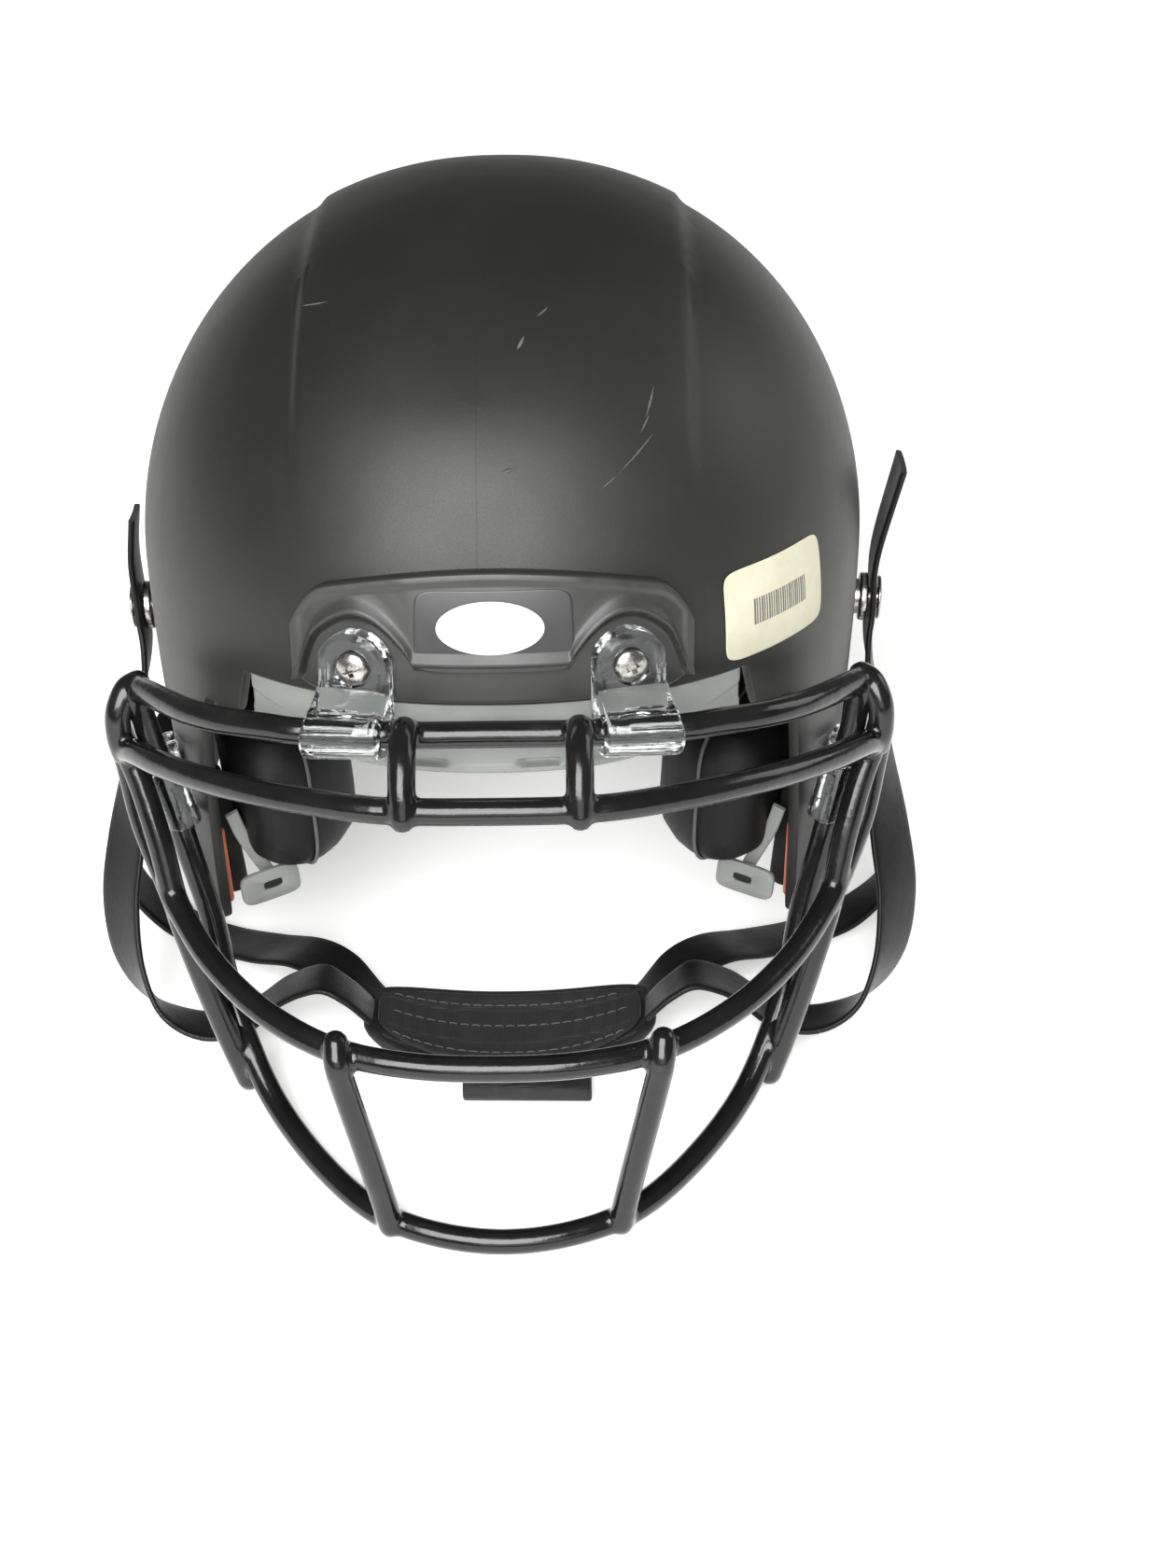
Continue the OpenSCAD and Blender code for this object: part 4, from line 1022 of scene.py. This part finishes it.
WELDS = [("brow_bar", "nose_stubs"), ("eye_bar", "nose_stubs")]
WELDS += [(bar, f"{upright}_upright_{side}") for bar, upright in (
    ("jaw_bar", "front"), ("chin_bar", "front"), ("chin_bar", "side"), ("jaw_bar", "side"), ("eye_bar", "side"))
          for side in ("left", "right")]
WELDS += [("brow_bar", "end_links"), ("eye_bar", "end_links"), ("brow_bar", "chin_bar")]
WELD_REACH = 8.6                  # two wires whose middles pass nearer than this are welded
weld_parts = []
for a, b in WELDS:
    for ca in lines[a]:
        for cb in lines[b]:
            D = np.linalg.norm(ca[:, None] - cb[None], axis=2)
            for sgn in (-1, 1):
                near = np.where((ca[:, 0] * sgn > 0)[:, None], D, 1e9)
                i, j = np.unravel_index(np.argmin(near), near.shape)
                if near[i, j] > WELD_REACH:
                    continue
                parts = []
                for c in (cut_near(ca, ca[i], 8), cut_near(cb, cb[j], 8)):
                    if len(c) > 3:
                        away = np.clip(np.linalg.norm(c - c[len(c) // 2], axis=1) / 8, 0, 1)
                        parts.append(tube(c, R + 0.16 * np.cos(away * math.pi / 2), 16))
                bead = [(0.2, -4.0)] + arc(0, 0, 4.0, -75, 75, 9) + [(0.2, 4.0)]
                weld_parts.append(join_parts(parts + [lathe(bead, np.eye(3), (ca[i] + cb[j]) / 2, 18)]))
welds = []
for i, (v, f) in enumerate(weld_parts):
    o = make(f"weld{i}", v, f, M_WIRE, None, 0)
    rm = o.modifiers.new("remesh", "REMESH")
    rm.mode, rm.voxel_size = "VOXEL", 0.0007
    sm = o.modifiers.new("smooth", "SMOOTH")
    sm.iterations, sm.factor = 9, 0.5
    bake(o)
    welds.append(o)


def merged(name, obs, mat, body, angle=0, slot=None):
    parts = []
    for o in obs:
        me = o.data
        co = np.empty(len(me.vertices) * 3); me.vertices.foreach_get("co", co)
        parts.append((co.reshape(-1, 3), [tuple(p.vertices) for p in me.polygons]))
        bpy.data.objects.remove(o)
    v, f = join_parts(parts)
    return make(name, v, f, mat, body, angle, slot, worn=False)


merged("mask_welds", welds, M_WIRE, HELMET, 0, "coated_wire")

# ---- clips, screws, snaps --------------------------------------------------------------------------
CLIP_SIZE, CLIP_T = 20.0, 5.0
BROW_BASE, SIDE_BASE = 2.2, 0.7   # height of the clips' undersides above the skin
SCREW_SUNK = 1.2                  # depth of the screw's seat below the clip's face
HEAD_R = 4.7


def clip_mesh(name, node, w, s, spin, reach, lift, base, lean, wall, play):
    """Moulded clip: rounded plate with a raised border and a screw seat, running into a ring round the wire."""
    Mm, p = on_skin(w, s)
    Mm = spun(Mm, spin)
    Ro = WIRE / 2 + play + wall
    # side outline in (y up, z out): plate top, front face, round the wire, and back to the plate's underside
    top, zt = CLIP_SIZE / 2, base + CLIP_T
    prof = [(top, base + 0.2), (top, zt)] + [(y, zt) for y in np.linspace(top, -reach * 0.35, 10)[1:]]
    ring = arc(-reach, lift, Ro, 70, 290, 34)
    in_ring = range(len(prof), len(prof) + len(ring))
    prof += ring + [(-reach * 0.3, base + 0.1)]
    # the outline swept across the width with rounded upper corners and a raised border
    rows = []
    for xx in eased(33, 0.5):
        x = xx * top
        pinch = 1 - float(round_edge((1 - abs(xx)) * top / 1.3))
        ymax = math.sqrt(max(0.0, top ** 2 - x * x))
        row = []
        for k, (y, z) in enumerate(prof):
            yy = min(y, ymax) if y > 0 else y
            front = z >= zt - 0.01
            raised = 0.0
            if y >= -reach * 0.4 and front:
                raised = 0.7 * math.exp(-((top - math.hypot(x, max(0, yy)) - 1.5) / 0.9) ** 2) - 0.15
            zz = z + raised - (pinch * 0.9 if front else 0) + (pinch * 0.3 if z < base + 0.3 else 0)
            if k in in_ring:
                k_in = 1 - pinch * 0.09
                yy, zz = -reach + (yy + reach) * k_in, lift + (z - lift) * k_in
            row.append((x, yy, zz))
        rows.append(row)
    V, F = loft(rows, back=True)
    # the ring leans with the wire
    la = math.radians(lean)
    V[:, 2] += np.clip((-V[:, 1] - reach * 0.25) / (reach * 0.5), 0, 1) * V[:, 0] * math.tan(la)
    ob = make(name, p + V @ Mm.T, F, M_CLEAR, None, 40)
    L = np.array([math.cos(la), 0, math.sin(la)])
    along_wire = Mm @ np.stack([np.cross([0, 1.0, 0], L), [0, 1.0, 0], L], 1)
    seat = base + CLIP_T - SCREW_SUNK
    bore = WIRE / 2 + play
    carve(ob, [lathe([(bore, -18), (bore, 18)], along_wire, p + Mm @ np.array([0, -reach, lift]), 40),
               lathe([(BORE_R, -30), (BORE_R, seat), (5.3, seat), (5.6, base + CLIP_T + 3)], Mm, p, 44)], M_CLEAR)
    finish_mesh(ob, M_CLEAR, 35)
    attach(ob, HELMET)
    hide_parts(node)


for side, sx in (("left", -1), ("right", 1)):
    clip_mesh(f"loop_clip_brow_{side}", f"brow_clip_{side}", sx * CLIP_W, CLIP_S, 0, 16.6, 11.6, BROW_BASE,
              sx * 15.7, 2.6, 0.8)
    clip_mesh(f"loop_clip_side_{side}", f"side_clip_{side}", sx * SIDE_W, SIDE_S, -sx * 90, 18.2, 7.1, SIDE_BASE,
              -sx * 7.3, 1.3, 1.3)


def screw(name, node, places):
    """Truss-head screws at (azimuth, latitude, seat height), with a thread and a combined cross and slot."""
    obs = []
    for w, s, seat in places:
        Mm, p = on_skin(w, s)
        dome = [(HEAD_R * math.cos(g), seat + 0.5 + 2.0 * math.sin(g) ** 0.9)
                for g in np.linspace(0.0, math.pi / 2 - 0.04, 12)]
        thread = []
        z = -WALL - 2.8
        while z < seat - 1.0:
            thread += [(2.15, z), (2.48, z + 0.4)]
            z += 0.8
        prof = [(0.1, -WALL - 3), (1.8, -WALL - 3)] + thread
        prof += [(2.45, seat - 0.3), (2.45, seat), (HEAD_R - 0.25, seat), (HEAD_R, seat + 0.25)]
        ob = make("screw_tmp", *lathe(prof + dome + [(0.1, seat + 2.52)], Mm, p, 56), M_METAL, None, 0)
        cutters = []
        for turn, long, wide, deep, taper in ((20, 6.6, 1.0, 0.9, 1.0), (110, 4.4, 1.5, 1.6, 0.55),
                                              (20, 4.4, 1.5, 1.6, 0.55)):
            Mz = spun(Mm, turn)
            cutters.append(loft([[p + Mz @ np.array([a * long / 2 * k, b * wide / 2 * (0.8 + 0.2 * k), z])
                                  for a, b in ((-1, -1), (1, -1), (1, 1), (-1, 1))]
                                 for z, k in ((seat + 2.55 - deep, taper), (seat + 3.4, 1.15))]))
        carve(ob, cutters, M_METAL)
        obs.append(ob)
    ob = merged(name, obs, M_METAL, HELMET, 32, "zinc_steel")
    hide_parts(node)


SEAT = CLIP_T - SCREW_SUNK + 0.05
screw("brow_truss_screws", "brow_screws", [(sx * CLIP_W, CLIP_S, BROW_BASE + SEAT) for sx in (-1, 1)])
screw("side_truss_screws", "side_screws", [(sx * SIDE_W, SIDE_S, SIDE_BASE + SEAT) for sx in (-1, 1)])

for side, sx in (("left", -1), ("right", 1)):
    for lv, w, s in (("upper", SNAP_W, SNAP_S), ("lower", LOW_W, LOW_S)):
        Mm, p = on_skin(sx * w, s)
        socket = [(3.85, 3.5), (3.85, 1.7), (4.4, 1.7)] + arc(6.9, 2.3, 0.6, -90, 0, 4) + arc(6.9, 3.5, 0.6, 0, 90, 4)
        socket += [(4.5, 4.1), (4.0, 4.4), (3.0, 4.4), (0.2, 4.4)]
        cap = [(0.2, 4.2), (2.95, 4.2), (2.95, 7.3), (6.2, 7.3)] + arc(6.3, 7.75, 0.45, -90, 60, 5)
        cap += [(5.6, 8.35), (4.6, 8.5), (4.0, 8.1), (2.6, 8.0), (0.2, 8.2)]
        v, f = join_parts([lathe(socket, Mm, p, 56), lathe(cap, Mm, p, 56)])
        ob = make(f"press_snap_{lv}_{side}", v, f, M_METAL, f"{lv}_strap_body_{side}", 40, "zinc_steel")
        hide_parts(f"{lv}_snap_{side}")
for node in ("clip_nuts", "snap_studs"):
    o = frame["nodes"][node]
    o.data.materials.clear()
    o.data.materials.append(M_METAL)

# ---- chin strap ------------------------------------------------------------------------------------
LIFT = 5.7                        # middle of the strap above the skin at a snap
STRAP_W, STRAP_T = 19.0, 2.0
STEPS = 12                        # stations between two points of a strap's route


def at_snap(w, s, side, up):
    Mm, p = on_skin(w, s)
    return p + LIFT * Mm[:, 2] + side * Mm[:, 0] + up * Mm[:, 1]


def route(sx):
    """Points and width directions of an upper strap, from its tail over the snap to the cup."""
    across = on_skin(SNAP_W, SNAP_S)[0][:, 0]
    tail = lay(121, 12, 19) if sx > 0 else at_snap(SNAP_W, SNAP_S, 2, 30) - np.array([2.0, 0, 0])
    P = [tail, at_snap(SNAP_W, SNAP_S, 1, 16), at_snap(SNAP_W, SNAP_S, 0, 0), at_snap(SNAP_W, SNAP_S, -5, -14),
         lay(115, 38, -64), lay(117.5, 52, -86), lay(119.5, 60, -104), lay(117, 67, -121), lay(108, 73, -133.5),
         lay(94, 76, -139), lay(80, 76, -135.5), lay(68, 77.5, -125.5), lay(57, 80, -120.5), lay(49, 81.5, -124),
         lay(42, 82.5, -130.6)]
    W = [np.array(v, float) for v in (
        [0, 1, 0] if sx > 0 else across, across, across, across, [0.3, 1, 0.2], [0.6, 0.8, 0.1], [0.7, 0.8, 0],
        [0.6, 0.8, -0.1], [0.4, 0.9, -0.1], [0.1, 1, -0.1], [0, 1, 0], [0, 1, -0.1], [0, 1, -0.1], [0, 1, -0.15],
        [0, 1, -0.2])]
    return (P, W) if sx > 0 else (flip(P), flip(W))


def low_route(sx):
    """The same for a lower strap."""
    across = on_skin(LOW_W, LOW_S)[0][:, 1]
    P = [at_snap(LOW_W, LOW_S, side, 0) for side in (22, 0, -20)]
    P += [lay(123, 0, -95), lay(126, 12, -108), lay(121, 20, -121), lay(108, 26, -130.5), lay(94, 33, -133),
          lay(78, 44, -130.5), lay(64, 54, -126.5), lay(52.5, 63, -127.5), lay(42, 70, -134)]
    W = [np.array(v, float) for v in (across, across, across, [0, -0.6, 0.9], [0, -0.8, 0.6], [0.3, -0.9, 0.4],
         [0.5, -0.8, 0.2], [0.5, -0.8, 0.1], [0.5, -0.8, 0], [0.5, -0.8, 0], [0.3, -0.9, 0], [0.1, -1, 0.1])]
    return (P, W) if sx > 0 else (flip(P), flip(W))


def strap(name, node, body, P, W, turn, part):
    """Two lengths of one strap: one runs from its press snap to the helmet, the other from the helmet to the cup;
    neither is attached to a body.
    """
    C, D = catmull(P, STEPS), catmull(W, STEPS)
    k = part * STEPS
    for tag, c, d, a, b, one, two in (("", C[:k + 1], D[:k + 1], turn[0], turn[1], body, HELMET),
                                      ("_end", C[k:], D[k:], part + 0.3, len(P) - 1.6, HELMET, "cup_body")):
        v, f = ribbon(c, d, STRAP_W - 0.4, STRAP_T - 0.2, 10, 0.25)
        ob = make(name + tag, v, f, M_STRAP, None, 35)
        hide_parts(node)
        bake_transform(ob)


for side, sx in (("left", -1), ("right", 1)):
    strap(f"chin_strap_upper_{side}", f"upper_strap_{side}", f"upper_strap_body_{side}", *route(sx), (3, 6), 9)
    strap(f"chin_strap_lower_{side}", f"lower_strap_{side}", f"lower_strap_body_{side}", *low_route(sx), (2, 5), 8)

# ---- chin cup --------------------------------------------------------------------------------------
CUP_F, CUP_Z, CUP_W, CUP_L, CUP_T = 84.0, -143.5, 90.0, 42.0, 5.0


def cup_point(u, v, d):
    x = u * CUP_W / 2
    depth = 0.86 * CUP_L * (1 - 0.34 * np.abs(u) ** 2.5)
    f = CUP_F - CUP_L / 2 + v * depth
    z = CUP_Z - (f - CUP_F) * 0.21 + 6 * np.abs(u) ** 2.2 + 2.5 * np.abs(2 * v - 1) ** 3
    return np.stack([x, -f, z + d], -1)


def cup_sheet(inset, lo, hi, seams, nu=121, nv=61, power=5.0, edge=0.16):
    """Padded sheet of the cup between the depths lo and hi, its corners rounded in plan."""
    U, V = np.meshgrid(eased(nu, 0.4), eased(nv, 0.4), indexing="ij")
    k = np.maximum(np.abs(U), np.abs(V)) / np.maximum(1e-9, (np.abs(U) ** power + np.abs(V) ** power) ** (1 / power))
    mid, half = (lo + hi) / 2, (hi - lo) / 2
    d = (half + seams(U, V)) * round_edge((1 - np.maximum(np.abs(U), np.abs(V))) / edge)
    uu, vv = U * k * (1 - inset), inset + (1 - 2 * inset) * (V * k + 1) / 2
    return slab(cup_point(uu, vv, mid + d), cup_point(uu, vv, mid - d))


def cup_seams(U, V):
    rows = sum(np.exp(-(((V - at) / wide) ** 2)) for at, wide in ((-0.62, 0.045), (-0.30, 0.045), (0.72, 0.05)))
    return -0.75 * rows * (np.abs(U) < 0.9) + 0.14 * np.cos(U * 9) * (1 - np.abs(V))


def fleece_seams(U, V): return -0.4 * np.exp(-((np.abs(V) - 0.5) / 0.06) ** 2)


cup = make("chin_cup_shell", *cup_sheet(0.0, -CUP_T / 2, CUP_T / 2, cup_seams), M_CUP, "cup_body", 0, "cup_fabric")
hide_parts("chin_cup")
ob = make("chin_cup_fleece", *cup_sheet(0.1, CUP_T / 2 + 0.25, CUP_T / 2 + 2.3, fleece_seams, 97, 49, 4.0, 0.2), M_LINING,
          "cup_body", 0, "cup_fabric")
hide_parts("cup_lining")


def stitch_row(points, normals, length=2.4, gap=1.1, r=0.22):
    pts = np.asarray(points)
    seg = np.linalg.norm(np.diff(pts, axis=0), axis=1)
    s = np.concatenate([[0], np.cumsum(seg)])
    out, a = [], 0.5
    while a + length < s[-1]:
        q = np.linspace(a, a + length, 5)
        c = np.stack([np.interp(q, s, pts[:, k]) for k in range(3)], 1)
        nn = np.stack([np.interp(q, s, normals[:, k]) for k in range(3)], 1)
        lift = (np.sin(np.linspace(0, math.pi, 5)) * 0.28 - 0.1)[:, None]
        out.append(tube(c + nn * lift, r, 7))
        a += length + gap
    return out


rows = []
for vv in (0.24, 0.47, 0.80):
    u = np.linspace(-0.80, 0.80, 90)
    for way, d in ((1.0, CUP_T / 2 + 2.3), (-1.0, -CUP_T / 2 + 0.7)):
        rows += stitch_row(cup_point(u, np.full_like(u, vv), d), np.tile([0, 0, way], (90, 1)))
# folded webbing tab at the front edge of the cup
tab = catmull([lay(5.5, CUP_F + 0.36 * CUP_L + g, CUP_Z - 0.075 * CUP_L + h)
               for g, h in ((-7, -0.2), (-2, 0.3), (1.4, -0.3), (2.4, -2.2), (1.9, -3.6))], 6)
make("chin_cup_tab", *ribbon(tab, np.tile([1.0, 0, -0.05], (len(tab), 1)), 39, 2.0, 12), M_CUP,
     "cup_body", 35, "cup_fabric")
make("chin_cup_stitches", *join_parts(rows), M_THREAD, "cup_body", 0, "cup_fabric")

# ---- stage, light, camera --------------------------------------------------------------------------

def stage_plane(name, verts, mat):
    me = bpy.data.meshes.new(name)
    me.from_pydata(verts, [], [tuple(range(len(verts)))])
    ob = bpy.data.objects.new(name, me)
    bpy.context.scene.collection.objects.link(ob)
    me.materials.append(mat)
    return ob


def pale():
    n = Nodes("pale_floor")
    n.into("Base Color", n.ramp(n.noise(3, 3), [(0.3, (0.93, 0.93, 0.925)), (0.7, (0.96, 0.96, 0.955))]))
    fill(n.p, Roughness=0.75, Emission_Color=(1.0, 1.0, 0.99, 1))
    # painted light: the floor glows, from 0.40 near the helmet to 0.62 further out, which lifts the shadows cast on it
    # towards white
    gap = n.add("ShaderNodeVectorMath", operation="LENGTH")
    n.link(n.co, gap.inputs[0])
    n.into("Emission Strength", n.grey(gap.outputs["Value"], 0.40, 0.62, 0.45, 2.2))
    return n.mat


M_FLOOR = pale()
stage_plane("floor", [(-6, -6, 0), (6, -6, 0), (6, 6, 0), (-6, 6, 0)], M_FLOOR)

world = bpy.data.worlds.new("studio")
bpy.context.scene.world = world
world.use_nodes = True
bg = world.node_tree.nodes["Background"]
bg.inputs[0].default_value = (1.0, 0.995, 0.985, 1)
bg.inputs[1].default_value = 0.15
show = world.node_tree.nodes.new("ShaderNodeBackground")
show.inputs[0].default_value = (0.93, 0.93, 0.925, 1)
ray = world.node_tree.nodes.new("ShaderNodeLightPath")
pick = world.node_tree.nodes.new("ShaderNodeMixShader")
out = world.node_tree.nodes["World Output"]
for a, b in ((ray.outputs["Is Camera Ray"], pick.inputs[0]), (bg.outputs[0], pick.inputs[1]),
             (show.outputs[0], pick.inputs[2]), (pick.outputs[0], out.inputs[0])):
    world.node_tree.links.new(a, b)


def area(name, target, direction, dist, size, power, colour=(1, 1, 1)):
    data = bpy.data.lights.new(name, "AREA")
    data.shape = "RECTANGLE"
    data.size, data.size_y = size
    data.energy = power
    data.color = colour
    ob = bpy.data.objects.new(name, data)
    bpy.context.scene.collection.objects.link(ob)
    d = unit(np.asarray(direction, float))
    ob.location = Vector(tuple(np.asarray(target) + d * dist))
    ob.rotation_euler = Vector(tuple(d)).to_track_quat("Z", "Y").to_euler()
    return ob


# Camera: the angle, distance and framing of the view
yaw, elev, roll = math.radians(0.222), math.radians(27.016), math.radians(0.764)
U_ = np.array([math.cos(yaw), math.sin(yaw), 0])
F1 = np.array([math.sin(yaw), -math.cos(yaw), 0])
V_ = np.array([0, 0, math.cos(elev)]) - F1 * math.sin(elev)
T_ = F1 * math.cos(elev) + np.array([0, 0, math.sin(elev)])
U2 = U_ * math.cos(roll) - V_ * math.sin(roll)
V2 = U_ * math.sin(roll) + V_ * math.cos(roll)
cam_p = 25.8 * U2 - 84.8 * V2 + 800 * T_
cam_data = bpy.data.cameras.new("camera")
cam_data.lens, cam_data.sensor_width, cam_data.sensor_fit = 59.13, 36, "AUTO"
cam_data.clip_start = 0.01
cam = bpy.data.objects.new("camera", cam_data)
bpy.context.scene.collection.objects.link(cam)
placed = np.eye(4)
placed[:3] = np.stack([turned(U2), turned(V2), turned(T_), rest(cam_p)], 1)
cam.matrix_world = Matrix(placed.tolist())
bpy.context.scene.camera = cam

# Lights that the camera sees mirrored in the dome, where its broad highlights are
for name, w, z, dist, size, power in (("key", -4, 40, 1.5, (1.25, 1.15), 56), ("right", 40, 58, 1.7, (0.9, 0.9), 6)):
    at, facing = skin(w, float(latitude(z))), normal_at(w, float(latitude(z)))
    view = unit(cam_p - at)
    area(name, rest(at), turned(2 * (facing @ view) * facing - view), dist, size, power)
area("fill_low", (0, -0.1, 0.02), (0.1, -1, 0.35), 1.6, (1.2, 0.5), 3)

bpy.context.scene.view_settings.view_transform = "Standard"
